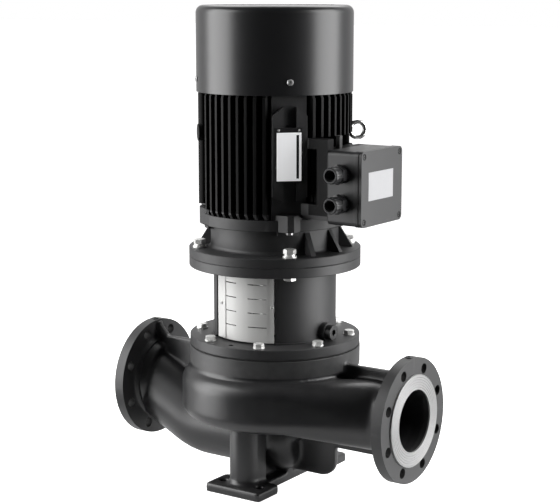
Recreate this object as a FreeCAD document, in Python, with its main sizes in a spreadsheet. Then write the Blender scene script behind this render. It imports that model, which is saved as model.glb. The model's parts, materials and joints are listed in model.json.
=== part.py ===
import FreeCAD
import Part
import Sketcher
import math
import os
import re

# An in-line circulation pump with a vertical flange motor, in millimetres.
# The origin lies on the shaft axis at the underside of the foot, +Z runs up the
# shaft and +X points out of the discharge port.

doc = FreeCAD.newDocument("circulation_pump")
V = FreeCAD.Vector
UP = V(0, 0, 1)

# Driving dimensions, one sheet row each.
SIZES = {
    # running and seating clearances
    "fit_gap": 0.05, "running_gap": 0.4, "seat_gap": 0.3,
    # ports
    "port_height": 150, "port_reach": 281, "port_bore": 106, "port_pipe": 122,
    "port_flange": 215, "port_flange_thickness": 19, "raised_face": 158, "raised_height": 3,
    "port_bolt_circle": 180, "discharge_bolt_hole": 18, "suction_bolt_hole": 18.4, "port_hub": 146,
    "port_hub_length": 20, "gauge_boss": 18, "gauge_plug": 13,
    # foot
    "foot_thickness": 16, "foot_width": 114, "foot_pad": 64, "foot_front": 134, "foot_back": 154,
    "foot_strip": 66, "foot_hole": 14, "foot_hole_spacing": 76, "leg_width": 54, "leg_setback": 15,
    "leg_web": 20, "leg_collar": 6, "cross_rib": 18, "keel": 12, "keel_height": 24, "keel_end": 130,
    "keel_corner": 28, "rib_height": 78,
    # casing
    "wall": 9, "neck": 300, "neck_rise": 99, "neck_height": 36, "volute_rise": 18,
    "volute_start": 143, "volute_growth": 11, "volute_leave": 36, "volute_half_height": 44,
    "volute_corner": 24, "duct_width": 90, "throat_length": 35, "suction_level": 84,
    "suction_tube": 124, "suction_tilt": 27, "suction_bend": 100, "chamber_end": 58,
    "chamber_corner": 34, "passage_wall": 16, "passage_drop": 7, "web": 12, "web_height": 230,
    "cover_bore": 236, "cover_step": 13, "eye_bore": 112, "wear_ring": 124, "wear_ring_depth": 14,
    "chamber_bore": 220, "floor_drop": 36,
    # stool
    "gasket": 2, "head_flange": 299, "head_flange_thickness": 17.5, "stool_height": 156.5,
    "stool_barrel": 215, "stool_wall": 8, "stool_flange": 300, "stool_flange_thickness": 17,
    "window_width": 122, "head_bolt_circle": 265, "jack_hole": 9, "rim_bevel": 1,
    "plinth": 3.5, "plinth_rise": 2.5,
    # guards over the windows, with their slits
    "guard_thickness": 1.5, "guard_rise": 3, "guard_lap": 9, "slit": 1.6, "slit_length": 34,
    "first_slit": 25.5, "slit_pitch": 24.5,
    # vent plug
    "vent_rise": 14.5, "vent_plug": 26, "vent_reach": 128, "vent_offset": 8, "vent_thread": 18,
    "vent_socket": 10, "vent_stand": 9,
    # motor
    "motor_flange": 300, "motor_flange_thickness": 16, "motor_bolt_circle": 265, "motor_spigot": 230,
    "spigot_depth": 4, "shield_body": 224, "shield_height": 42.5, "shield_rib": 9, "lug": 8,
    "frame_ring": 260, "frame_ring_height": 23, "frame_bore": 210, "frame_wall": 7, "frame_spare": 74,
    "fin_tip": 268, "fin_pitch": 15, "fin_thickness": 4.5, "bearing_seal": 2,
    "pad_width": 59, "pad_channel": 22, "pad_reach": 134, "pad_base": 125, "pad_rise": 52,
    "pad_drop": 26, "pad_slope_low": 7, "pad_slope_high": 15,
    "ear_rise": 28, "ear_width": 48, "ear_flat": 11, "ear_reach": 142, "cover_lug": 28, "cover_screw": 6,
    "core_length": 160, "core_rise": 39, "stator_bore": 136, "air_gap": 0.5, "winding_length": 26,
    "winding_inner": 150, "winding_depth": 25, "cage_inner": 45, "cage_rise": 10,
    # fan end
    "fan_cover": 270, "cover_lap": 8, "fan_cover_height": 146, "sheet": 2,
    "fan_cover_edge": 13, "grille_slot": 7, "grille_start": 40, "grille_pitch": 14, "grille_bar": 5,
    "fan_hub": 44, "fan": 220, "fan_rise": 38, "fan_width": 34, "fan_blade": 3, "fan_blades": 7,
    # terminal box
    "box_width": 132, "box_height": 125, "box_rise": 77, "box_offset": 9, "box_inner_face": 155,
    "box_seam": 214, "box_wall": 4, "box_corner": 8, "box_cover": 5, "box_rim": 1, "rim_depth": 8,
    "box_screw_inset": 9, "box_screw": 5, "box_sheet": 1.5, "cable_way": 30, "cable_way_drop": 38,
    # seat of the terminal box on the frame
    "pedestal_width": 104, "pedestal_drop": 55, "pedestal_rise": 79, "pedestal_plate": 21,
    "pedestal_shelf": 25, "pedestal_top": 17,
    # cable glands
    "gland_spacing": 49, "gland_place": 182, "gland_face": 110, "gland_nut": 29, "gland_round": 31,
    "gland_hole": 15, "gland_thread": 24, "gland_collar": 30,
    # shafts and seal
    "motor_shaft": 38, "shaft_extension": 80, "bearing_seat": 40, "rotor_seat": 50, "fan_seat": 30,
    "pump_shaft": 28, "shaft_gap": 5, "coupling": 76, "grip_low": 41.5, "grip_high": 50.5,
    "clamp_gap": 2, "seal_rise": 37, "impeller": 208, "outlet_width": 20, "eye": 100,
    "impeller_nut": 16, "impeller_seat": 26, "impeller_hub": 50, "shroud": 5, "blade": 5, "blade_count": 6,
    "blade_lag": 68, "key_width": 8, "key_floor": 9, "key_reach": 16, "key_length": 26,
    "seal_bellows": 48, "seal_fold": 4, "seal_hub": 46, "seal_well": 30,
    "coupling_screw": 8, "coupling_screw_across": 28, "coupling_screw_rise": 16, "screw_seat": 16,
    "screw_grip": 16,
    # bearings: outer diameter and width, drive end and fan end
    "bearing_a": 90, "bearing_a_width": 23, "bearing_b": 80, "bearing_b_width": 18,
    # lifting eye
    "eye_rise": 157, "eye_reach": 147, "eye_seat": 123, "eye_collar": 6, "eye_thread": 16, "boss": 29,
    "eye_ring": 36, "eye_wire": 7,
    # fasteners, by thread size: across flats, head height and washers
    "screw_ten": 10, "head_ten": 16, "rise_ten": 6.4, "screw_twelve": 12, "head_twelve": 19,
    "rise_twelve": 8, "washer": 3, "lock_washer": 3.5, "thread_end": 1,
}

# Heights and radii worked out from the driving dimensions.
PLACES = {
    "volute_level": "port_height + volute_rise",
    "chamber_floor": "volute_level - floor_drop",
    "seal_level": "volute_level + seal_rise",
    "neck_top": "port_height + neck_rise",
    "neck_bottom": "port_height + neck_rise - neck_height",
    "cover_seat": "port_height + neck_rise - cover_step",
    "wear_seat": "chamber_floor - 6",
    "head_bottom": "port_height + neck_rise + gasket",
    "head_top": "port_height + neck_rise + gasket + head_flange_thickness",
    "vent_level": "head_top + vent_rise",
    "stool_top": "port_height + neck_rise + gasket + stool_height",
    "stool_shelf": "port_height + neck_rise + gasket + stool_height - stool_flange_thickness",
    "motor_face": "port_height + neck_rise + gasket + stool_height",
    "motor_flange_top": "motor_face + motor_flange_thickness",
    "frame_bottom": "motor_face + motor_flange_thickness + shield_height",
    "ring_top": "frame_bottom + frame_ring_height",
    "frame_height": "core_length + frame_spare",
    "frame_top": "frame_bottom + frame_height",
    "pad_bottom": "frame_bottom + pad_rise",
    "pad_top": "frame_top - pad_drop",
    "eye_level": "frame_bottom + eye_rise",
    "box_level": "frame_bottom + box_rise",
    "fan_cover_bottom": "frame_top - cover_lap",
    "fan_level": "frame_top + fan_rise",
    "frame_outer": "frame_bore / 2 + frame_wall",
    "core_bottom": "frame_bottom + core_rise",
    "core_top": "core_bottom + core_length",
    "shield_b_top": "frame_top + 12",
    "fan_cover_top": "fan_cover_bottom + fan_cover_height",
    "fan_cover_screw": "fan_cover_bottom + 22",
    "bearing_a_bottom": "motor_face + 24.5",
    "bearing_a_top": "bearing_a_bottom + bearing_a_width",
    "bearing_b_top": "shield_b_top - 4",
    "bearing_b_bottom": "bearing_b_top - bearing_b_width",
    "shaft_end": "motor_face - shaft_extension",
    "pump_shaft_top": "shaft_end - shaft_gap",
    "coupling_bottom": "shaft_end - grip_low",
    "coupling_top": "shaft_end + grip_high",
    "shaft_top": "fan_level + fan_width + 6",
    "hub_top": "seal_level - 21",
    "hub_bottom": "seal_level - 56",
    "outlet_bottom": "volute_level - outlet_width / 2",
    "outlet_top": "volute_level + outlet_width / 2",
    "flange_back": "port_reach - port_flange_thickness",
    "pipe_radius": "port_pipe / 2",
    "cover_face": "box_seam + box_sheet + box_cover",
    "gland_wall": "box_offset + box_width / 2 - box_rim",
    "cover_seam": "box_seam + box_sheet",
    "cable_way_level": "box_level - cable_way_drop",
    "cover_edge": "cover_bore / 2 - fit_gap",
    "cover_top": "cover_seat + 7",
    "seal_hole": "pump_shaft / 2 + 2",
    "seal_pocket": "pump_shaft / 2 + 14",
    "seat_top": "seal_level + 12",
    "rotary_bottom": "seal_level - seat_gap - 10",
    "eye_neck": "eye / 2 + 7",
    "neck_end": "chamber_floor - 2",
    "spigot_floor": "stool_top - spigot_depth - 1",
    "stool_inside": "stool_barrel / 2 - stool_wall",
    "vent_seat": "stool_barrel / 2 + vent_stand",
    "bolt_clearance": "screw_ten / 2 + 0.5",
    "register": "frame_bore / 2 - fit_gap",
    "rotor_radius": "stator_bore / 2 - air_gap",
}


def fill_sheet(name, rows, formula):
    """A sheet with one row for each size: its name, then its value or formula."""
    page = doc.addObject("Spreadsheet::Sheet", name)
    for row, (alias, value) in enumerate(rows.items(), 1):
        page.set("A%d" % row, alias)
        page.set("B%d" % row, "=" + ref(value) if formula else str(value))
        page.setAlias("B%d" % row, alias)
    doc.recompute()
    return page


def ref(text):
    """The expression with each size written as Sheet.size."""
    def full(word):
        name = word.group(0)
        if name in SIZES:
            return "Sizes." + name
        return "Places." + name if name in PLACES else name
    return re.sub(r"[a-z][a-z_]*", full, text)


sheets = [fill_sheet("Sizes", SIZES, False), fill_sheet("Places", PLACES, True)]


def size(alias):
    return float(sheets[0 if alias in SIZES else 1].get(alias))


def bind(item, **rules):
    for prop, text in rules.items():
        item.setExpression(prop.replace("__", "."), ref(text))
    return item


def place(item, x="0", y="0", z="0", turn=None):
    """Puts an object at bound coordinates, turned by an (axis, angle) pair."""
    if turn:
        item.Placement = FreeCAD.Placement(V(), FreeCAD.Rotation(*turn))
    for axis, text in (("x", x), ("y", y), ("z", z)):
        if text != "0":
            item.setExpression("Placement.Base." + axis, ref(text))
    return item


ALONG_X = (V(0, 1, 0), 90)
ALONG_Y = (V(1, 0, 0), -90)
AGAINST_Y = (V(1, 0, 0), 90)


def outward(angle):
    """The turn that lays an upright piece along an angle about the shaft."""
    return V(-math.sin(math.radians(angle)), math.cos(math.radians(angle)), 0), 90


def polar(radius, angle):
    """Bound x and y of a point at a radius and an angle about the shaft."""
    return "(%s) * cos(%s)" % (radius, angle), "(%s) * sin(%s)" % (radius, angle)


def cylinder(radius, height, x="0", y="0", z="0", turn=None):
    item = bind(doc.addObject("Part::Cylinder", "cylinder"), Radius=radius, Height=height)
    return place(item, x, y, z, turn)


def block(length, width, height, x="0", y="0", z="0", turn=None):
    """A box centred on its place in plan, standing on its height."""
    item = bind(doc.addObject("Part::Box", "block"), Length=length, Width=width, Height=height)
    if turn is None:
        return place(item, "(%s) - (%s) / 2" % (x, length), "(%s) - (%s) / 2" % (y, width), z)
    return place(item, x, y, z, turn)


def radial_block(inner, outer, width, bottom, height, angle):
    """A box from one radius to another, centred on an angle about the shaft."""
    item = doc.addObject("Part::Box", "radial_block")
    bind(item, Length="(%s) - (%s)" % (outer, inner), Width=width, Height=height)
    x = "(%s) * cos(%s) + (%s) / 2 * sin(%s)" % (inner, angle, width, angle)
    y = "(%s) * sin(%s) - (%s) / 2 * cos(%s)" % (inner, angle, width, angle)
    return place(item, x, y, bottom, (UP, float(angle)))


def hexagon(flats, height, x="0", y="0", z="0", turn=None):
    item = doc.addObject("Part::Prism", "hexagon")
    item.Polygon = 6
    bind(item, Circumradius="(%s) / 2 / cos(30)" % flats, Height=height)
    return place(item, x, y, z, turn)


def torus(ring, wire, x="0", y="0", z="0", turn=None):
    item = bind(doc.addObject("Part::Torus", "torus"), Radius1=ring, Radius2=wire)
    return place(item, x, y, z, turn)


def fuse(*items):
    item = doc.addObject("Part::MultiFuse", "fuse")
    item.Shapes = list(items)
    return item


def cut(base, *tools):
    item = doc.addObject("Part::Cut", "cut")
    item.Base = base
    item.Tool = tools[0] if len(tools) == 1 else fuse(*tools)
    return item


def common(*items):
    item = doc.addObject("Part::MultiCommon", "common")
    item.Shapes = list(items)
    return item


def group(*items):
    item = doc.addObject("Part::Compound", "group")
    item.Links = list(items)
    return item


def solid(shape):
    item = doc.addObject("Part::Feature", "formed")
    item.Shape = shape
    return item


NODES = {}


def node(name, item):
    item.Label = name
    NODES[name] = item
    return item


def turned(*outline):
    """A solid of revolution about the shaft, from bound (radius, height) points."""
    body = doc.addObject("PartDesign::Body", "turned")
    sketch = body.newObject("Sketcher::SketchObject", "profile")
    sketch.AttachmentSupport = [(next(f for f in body.Origin.OriginFeatures if f.Role == "XZ_Plane"), "")]
    sketch.MapMode = "FlatFace"
    count = len(outline)
    start = [V(400 + 300 * math.cos(2 * math.pi * i / count), 400 + 300 * math.sin(2 * math.pi * i / count), 0)
             for i in range(count)]
    for i in range(count):
        sketch.addGeometry(Part.LineSegment(start[i], start[(i + 1) % count]))
    rules = [Sketcher.Constraint("Coincident", i, 2, (i + 1) % count, 1) for i in range(count)]
    bound = []
    for i, (radius, height) in enumerate(outline):
        for kind, text, axis in (("DistanceX", radius, -2), ("DistanceY", height, -1)):
            if text == "0":
                rules.append(Sketcher.Constraint("PointOnObject", i, 1, axis))
            else:
                bound.append((len(rules), text))
                rules.append(Sketcher.Constraint(kind, -1, 1, i, 1, 100.0))
    sketch.addConstraint(rules)
    for index, text in bound:
        sketch.setExpression("Constraints[%d]" % index, ref(text))
    revolution = body.newObject("PartDesign::Revolution", "turning")
    revolution.Profile = sketch
    revolution.ReferenceAxis = (sketch, ["V_Axis"])
    revolution.Angle = 360
    return body


def ring(inner, outer, bottom, top):
    return turned((inner, bottom), (outer, bottom), (outer, top), (inner, top))


def around(make, angles):
    """One copy of a piece at each angle about the shaft."""
    return [make(str(angle)) for angle in angles]


EIGHT = [22.5 + 45 * k for k in range(8)]
DIAGONALS = [45, 135, 225, 315]


# Casing: the volute, ports, suction bend and foot are one casting.

def at_angle(centre, radius, degrees):
    return centre + V(radius * math.cos(math.radians(degrees)), radius * math.sin(math.radians(degrees)), 0)


def rounded_outline(centre, out, half_width, half_height, corner):
    """A closed rounded rectangle standing in the plane of out and the upright."""
    def at(across, rise):
        return centre + out * across + UP * rise
    edges, turns = [], []
    for side, end in ((1, 1), (-1, 1), (-1, -1), (1, -1)):
        x, z = side * (half_width - corner), end * (half_height - corner)
        first, last = (x + side * corner, z), (x, z + end * corner)
        if side != end:
            first, last = last, first
        bulge = corner * math.sqrt(0.5)
        turns.append((at(*first), at(x + side * bulge, z + end * bulge), at(*last)))
    for i, (first, middle, last) in enumerate(turns):
        edges.append(Part.Arc(first, middle, last).toShape())
        edges.append(Part.LineSegment(last, turns[(i + 1) % 4][0]).toShape())
    return Part.Wire(edges)


def volute(wall):
    """The spiral, drawn with four tangent arcs, and the duct that leads it to the discharge port."""
    growth, leave = size("volute_growth"), size("volute_leave")
    level, half = size("volute_level"), size("volute_half_height") - wall
    corner, step = size("volute_corner") - wall * 0.7, growth / 2
    centres = [V(-step, step, 0), V(-step, -step, 0), V(step, -step, 0), V(step, step, 0)]
    spans = [(20, 90), (90, 180), (180, 270), (270, 270 + leave)]
    pieces = []
    for k, (begin, end) in enumerate(spans):
        radius = size("volute_start") - wall + growth * k
        out = at_angle(V(), 1, begin)
        profile = rounded_outline(centres[k] + UP * level, out, radius, half, corner)
        whole = Part.Face(profile).common(Part.makeBox(2 * radius, 2, 4 * level, centres[k] + V(0, -1, -level), UP)
                                          .rotate(centres[k], UP, begin))
        pieces.append(whole.revolve(centres[k], UP, end - begin))
    out = at_angle(V(), 1, 270 + leave)
    width = size("duct_width") - 2 * wall
    last = centres[3] + out * radius
    port, pipe = V(size("flange_back"), 0, size("port_height")), size("pipe_radius") - wall
    throat = port - V(size("throat_length"), 0, 0)
    mouth = last - out * (width / 2) + UP * level
    duct = Part.makeLoft([rounded_outline(mouth, out, width / 2, half, corner),
                          rounded_outline(throat, V(0, -1, 0), pipe, pipe, pipe - 0.3)], True, True)
    return pieces + [duct, Part.makeCylinder(pipe, size("throat_length") + 2, throat, V(1, 0, 0))]


def suction_bend(wall, drop):
    """The tilted pipe from the suction port, bent level to the chamber under the impeller eye."""
    radius = size("suction_tube") / 2 - wall
    tilt, bend, low = math.radians(size("suction_tilt")), size("suction_bend"), size("suction_level") - drop
    back = size("flange_back")
    start = V(-back, 0, size("port_height") - 10)
    knee = V(-back + (start.z - low) / math.tan(tilt), 0, low)
    down = V(math.cos(tilt), 0, -math.sin(tilt))
    reach = bend * math.tan(tilt / 2)
    first, last = knee - down * reach, knee + V(reach, 0, 0)
    sloping = Part.makeCylinder(radius, (first - start).Length + 40, start - down * 40, down)
    turn = Part.Face(Part.Wire(Part.Circle(first, down, radius).toShape()))
    turn = turn.revolve(last + UP * bend, V(0, -1, 0), size("suction_tilt"))
    level = Part.makeCylinder(radius, size("chamber_end") - wall - last.x, last, V(1, 0, 0))
    rim = [e for e in level.Edges if isinstance(e.Curve, Part.Circle) and e.BoundBox.XMin > last.x + 1]
    ease = level.makeChamfer if wall else level.makeFillet
    level = ease(size("chamber_corner") - wall, rim)
    outside = Part.makeBox(2 * back, 4 * radius, 2 * size("port_height"), V(-3 * back, -2 * radius, 0))
    return [sloping.cut(outside), turn, level]


def upright_plate(points, thickness):
    """A plate in the plane of the ports, from its (x, z) corners."""
    wire = Part.makePolygon([V(x, -thickness / 2, z) for x, z in points + points[:1]])
    return Part.Face(wire).extrude(V(0, thickness, 0))


def port_end(side):
    """Flange with its hub, raised face and gauge boss, on the +X or -X side."""
    axis = V(side, 0, 0)
    height = size("port_height")
    back = V(side * size("flange_back"), 0, height)
    radius, thick = size("port_flange") / 2, size("port_flange_thickness")
    disc = Part.makeCylinder(radius, thick, back, axis)
    disc = disc.makeChamfer(1.2, [e for e in disc.Edges if isinstance(e.Curve, Part.Circle)])
    face = Part.makeCylinder(size("raised_face") / 2, size("raised_height"), back + axis * thick, axis)
    hub = Part.makeCone(size("pipe_radius"), size("port_hub") / 2, size("port_hub_length"),
                        back - axis * size("port_hub_length"), axis)
    boss = Part.makeCylinder(size("gauge_boss") / 2, radius - size("port_bore") / 2 - 2,
                             back + axis * 2 + UP * (size("port_bore") / 2), UP)
    return [disc, face, hub, boss]


def bolt_holes(side):
    holes = []
    for degrees in EIGHT:
        angle = math.radians(degrees)
        centre = V(side * (size("flange_back") - 5), size("port_bolt_circle") / 2 * math.cos(angle),
                   size("port_height") + size("port_bolt_circle") / 2 * math.sin(angle))
        hole = size("discharge_bolt_hole" if side > 0 else "suction_bolt_hole")
        holes.append(Part.makeCylinder(hole / 2, size("port_flange_thickness") + 10, centre, V(side, 0, 0)))
    return holes


def foot_casting():
    thick = size("foot_thickness")
    width, pad = size("foot_width"), size("foot_pad")
    front, rear = -size("foot_front"), size("foot_back")
    pieces = []
    for y in (front, rear - pad):
        plate = Part.makeBox(width, pad, thick, V(-width / 2, y, 0))
        pieces.append(plate.makeFillet(6, [e for e in plate.Edges if abs(e.tangentAt(0).z) > 0.9]))
    strip = size("foot_strip")
    pieces.append(Part.makeBox(strip, rear - front - pad, thick, V(-strip / 2, front + pad / 2, 0)))
    top = size("volute_level") - size("volute_half_height") + 12
    half = size("leg_width") / 2
    for y, back in ((front + size("leg_setback") + half, 1), (rear - size("leg_setback") - half, -1)):
        pieces.append(Part.makeCylinder(half, top, V(0, y, 0), UP))
        pieces.append(Part.makeBox(2 * half, half, top, V(-half, y if back > 0 else y - half, 0)))
        pieces.append(Part.makeCone(half + size("leg_collar"), half, size("leg_collar"), V(0, y, thick), UP))
    web = size("leg_web")
    inset = size("leg_setback") + half
    pieces.append(Part.makeBox(web, rear - front - 2 * inset, top, V(-web / 2, front + inset, 0)))
    rib = size("cross_rib")
    pieces.append(Part.makeBox(strip, rib, size("suction_level"), V(-strip / 2, -rib / 2, 0)))
    return pieces


def keel_plate():
    """The upright plate under the casing, with its round lower corner."""
    low, end, radius = size("keel_height"), size("keel_end"), size("keel_corner")
    corner = V(end - radius, 0, low + radius)
    arc = Part.Arc(V(end - radius, 0, low),
                   corner + V(radius * math.sin(math.pi / 4), 0, -radius * math.cos(math.pi / 4)),
                   V(end, 0, low + radius)).toShape()
    high = size("port_height")
    corners = [V(end, 0, low + radius), V(end, 0, high), V(-120, 0, high), V(-120, 0, low), V(end - radius, 0, low)]
    edges = [arc] + [Part.LineSegment(a, b).toShape() for a, b in zip(corners, corners[1:])]
    thick = size("keel")
    face = Part.Face(Part.Wire(edges))
    plate = face.extrude(V(0, thick, 0))
    plate.translate(V(0, -thick / 2, 0))
    return plate


def casing():
    level, half = size("volute_level"), size("volute_half_height")
    neck = size("neck") / 2
    low = level - half + 2
    back, high = size("flange_back"), size("web_height")
    rim = size("port_height") + size("port_flange") / 2 - 2
    outer = volute(0) + suction_bend(0, 0) + [
             Part.makeCylinder(neck, size("neck_height"), V(0, 0, size("neck_bottom"))),
             Part.makeCylinder(neck - 8, size("neck_bottom") - low, V(0, 0, low)),
             Part.makeCylinder(size("eye_bore") / 2 + 12, low - size("suction_level"), V(0, 0, size("suction_level"))),
             keel_plate()]
    for side in (-1, 1):
        outer += port_end(side)
        slope = [(side * (neck - 12), high), (side * (back - 24), high), (side * (back + 2), rim)]
        outer.append(upright_plate(slope + [(side * (back + 2), level), (side * (neck - 12), level)], size("web")))
    rib = size("rib_height")
    outer.append(upright_plate([(100, rib), (back + 2, rib), (back + 2, 110), (100, 110)], size("keel")))
    outer += foot_casting()
    body = outer[0].multiFuse(outer[1:])
    wall = size("wall")
    port = size("port_height")
    bore = size("port_bore") / 2
    reach = size("port_reach") + size("raised_height") + 1
    inner = volute(wall) + suction_bend(size("passage_wall"), size("passage_drop")) + [
             Part.makeCylinder(bore, reach - back + 12, V(back - 12, 0, port), V(1, 0, 0)),
             Part.makeCylinder(bore, reach - back + 12, V(12 - back, 0, port), V(-1, 0, 0)),
             Part.makeCylinder(size("eye_bore") / 2, 60, V(0, 0, size("suction_level") - size("passage_drop"))),
             Part.makeCylinder(size("wear_ring") / 2, size("wear_ring_depth"), V(0, 0, size("wear_seat"))),
             Part.makeCylinder(size("chamber_bore") / 2, 140, V(0, 0, size("chamber_floor"))),
             Part.makeCylinder(size("cover_bore") / 2, 40, V(0, 0, size("cover_seat")))]
    inner += bolt_holes(1) + bolt_holes(-1)
    circle, hole = size("head_bolt_circle") / 2, size("screw_ten") / 2 + size("fit_gap")
    for degrees in EIGHT:
        angle = math.radians(degrees)
        inner.append(Part.makeCylinder(hole, 25, V(circle * math.cos(angle), circle * math.sin(angle),
                                                   size("neck_top") - 24)))
    spread = size("foot_hole_spacing") / 2
    for x in (-spread, spread):
        for y in (-size("foot_front") + size("foot_pad") / 2, size("foot_back") - size("foot_pad") / 2):
            inner.append(Part.makeCylinder(size("foot_hole") / 2, 30, V(x, y, -5)))
    gauge = size("gauge_plug") / 2 + size("fit_gap")
    for side in (-1, 1):
        inner.append(Part.makeCylinder(gauge, 14, V(side * (back + 2 + 7), 0, port + size("port_flange") / 2 - 13)))
    return body.cut(inner[0].multiFuse(inner[1:]))


node("pump_casing", solid(casing()))


# Seal cover, gasket and wear ring, seated in the casing.
node("casing_gasket", cut(
    ring("cover_bore / 2 + 1", "neck / 2 - 2", "neck_top", "head_bottom"),
    *around(lambda a: cylinder("bolt_clearance", "3 * gasket", *polar("head_bolt_circle / 2", a),
                               "neck_top - gasket"), EIGHT)))
node("seal_cover", turned(
    ("seal_hole", "cover_seat"), ("seal_hole", "seat_top"), ("seal_pocket", "seat_top"), ("seal_pocket", "seal_level"),
    ("seal_hub", "seal_level"), ("seal_hub", "cover_seat"), ("cover_edge", "cover_seat"),
    ("cover_edge", "cover_top"), ("seal_well", "cover_top"), ("seal_well", "cover_seat")))
node("wear_ring", ring("eye_neck + running_gap", "wear_ring / 2 - fit_gap", "wear_seat", "wear_seat + wear_ring_depth"))


# Motor stool: two flanges and a barrel with a window on each side.

def motor_stool():
    barrel = turned(
        ("seal_well", "cover_top"), ("cover_edge", "cover_top"), ("cover_edge", "head_bottom"),
        ("head_flange / 2 - rim_bevel", "head_bottom"), ("head_flange / 2", "head_bottom + rim_bevel"),
        ("head_flange / 2", "head_top - rim_bevel"), ("head_flange / 2 - rim_bevel", "head_top"),
        ("stool_barrel / 2 + plinth", "head_top"), ("stool_barrel / 2 + plinth", "head_top + plinth_rise"),
        ("stool_barrel / 2", "head_top + plinth_rise"), ("stool_barrel / 2", "stool_shelf"),
        ("stool_flange / 2 - rim_bevel", "stool_shelf"), ("stool_flange / 2", "stool_shelf + rim_bevel"),
        ("stool_flange / 2", "stool_top - rim_bevel"), ("stool_flange / 2 - rim_bevel", "stool_top"),
        ("motor_spigot / 2 + fit_gap", "stool_top"), ("motor_spigot / 2 + fit_gap", "spigot_floor"),
        ("stool_inside", "spigot_floor"), ("stool_inside", "head_top"), ("seal_well", "head_top"))
    windows = [block("window_width", "stool_barrel", "stool_shelf - head_top", y="%d * 0.7 * stool_barrel" % side,
                     z="head_top") for side in (-1, 1)]
    head_holes = around(lambda a: cylinder("bolt_clearance", "3 * head_flange_thickness",
                                           *polar("head_bolt_circle / 2", a), "head_bottom - head_flange_thickness"),
                        EIGHT)
    jack_holes = around(lambda a: cylinder("jack_hole / 2", "2 * head_flange_thickness",
                                           *polar("head_bolt_circle / 2", a), "head_bottom - 1"), (90, 270))
    motor_holes = around(lambda a: cylinder("screw_twelve / 2 + 0.75", "2 * stool_flange_thickness",
                                            *polar("motor_bolt_circle / 2", a), "stool_shelf - 1"), DIAGONALS)
    vent_boss = cylinder("vent_plug / 2 + 3", "vent_seat - stool_inside - 1", "stool_inside + 1", "0 - vent_offset",
                         "vent_level", ALONG_X)
    vent_hole = cylinder("vent_thread / 2", "stool_barrel / 2", "stool_barrel / 4", "0 - vent_offset", "vent_level",
                         ALONG_X)
    return cut(fuse(barrel, vent_boss), *windows, *head_holes, *jack_holes, *motor_holes, vent_hole)


def coupling_guard(side):
    """A curved sheet over one window, with four rows of slits."""
    low, rise = "head_top + guard_rise", "stool_shelf - head_top - guard_rise - seat_gap"
    inside, outside = "stool_barrel / 2 + seat_gap", "stool_barrel / 2 + seat_gap + guard_thickness"
    tube = cut(cylinder(outside, rise, z=low), cylinder(inside, rise, z=low))
    sheet = common(tube, block("window_width + 2 * guard_lap", "stool_barrel", rise, y="%d * stool_barrel / 2" % side,
                               z=low))
    slits = []
    for row in range(4):
        height = "head_top + guard_rise + first_slit + slit_pitch * %d" % row
        for angle in (-12, 18):
            slits.append(radial_block("stool_barrel / 4", "stool_barrel", "slit_length", height, "slit",
                                      str(90 * side + angle)))
    return cut(sheet, *slits)


node("motor_stool", motor_stool())
node("coupling_guard_front", coupling_guard(-1))
node("coupling_guard_rear", coupling_guard(1))
node("vent_plug", cut(
    fuse(cylinder("vent_plug / 2", "vent_reach - vent_seat", "vent_seat", "0 - vent_offset", "vent_level", ALONG_X),
         cylinder("vent_thread / 2 - fit_gap", "stool_wall + 2", "vent_seat - stool_wall - 2", "0 - vent_offset",
                  "vent_level", ALONG_X)),
    hexagon("vent_socket", "vent_socket", "vent_reach - 0.7 * vent_socket", "0 - vent_offset", "vent_level", ALONG_X)))


def hex_bolt(flats, rise, thread, length, x, y, seat):
    """A hexagon head standing on its seat, with its shank hanging from it."""
    return fuse(hexagon(flats, rise, x, y, seat), cylinder(thread, length, x, y, "%s - (%s)" % (seat, length)))


for number, angle in enumerate(EIGHT, 1):
    node("head_bolt_%d" % number, hex_bolt("head_ten", "rise_ten", "screw_ten / 2", "4 * screw_ten",
                                           *polar("head_bolt_circle / 2", str(angle)), "head_top"))
for number, angle in enumerate(DIAGONALS, 1):
    x, y = polar("motor_bolt_circle / 2", str(angle))
    node("flange_bolt_%d" % number, fuse(
        cylinder("screw_twelve", "washer", x, y, "motor_flange_top"),
        cylinder("screw_twelve * 0.8", "lock_washer", x, y, "motor_flange_top + washer"),
        hex_bolt("head_twelve", "rise_twelve", "screw_twelve / 2",
                 "lock_washer + washer + motor_flange_thickness + stool_flange_thickness + screw_twelve"
                 " - 2 + thread_end", x, y, "motor_flange_top + washer + lock_washer")))


def flange_nut(angle):
    x, y = polar("motor_bolt_circle / 2", angle)
    seat = "stool_shelf - screw_twelve + 2"
    return cut(hexagon("head_twelve", "screw_twelve - 2", x, y, seat),
               cylinder("screw_twelve / 2 + fit_gap", "screw_twelve", x, y, seat + " - 1"))


node("flange_nuts", group(*around(flange_nut, DIAGONALS)))


# Rotating set: impeller, its nut and key, shaft seal and pump shaft.

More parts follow.
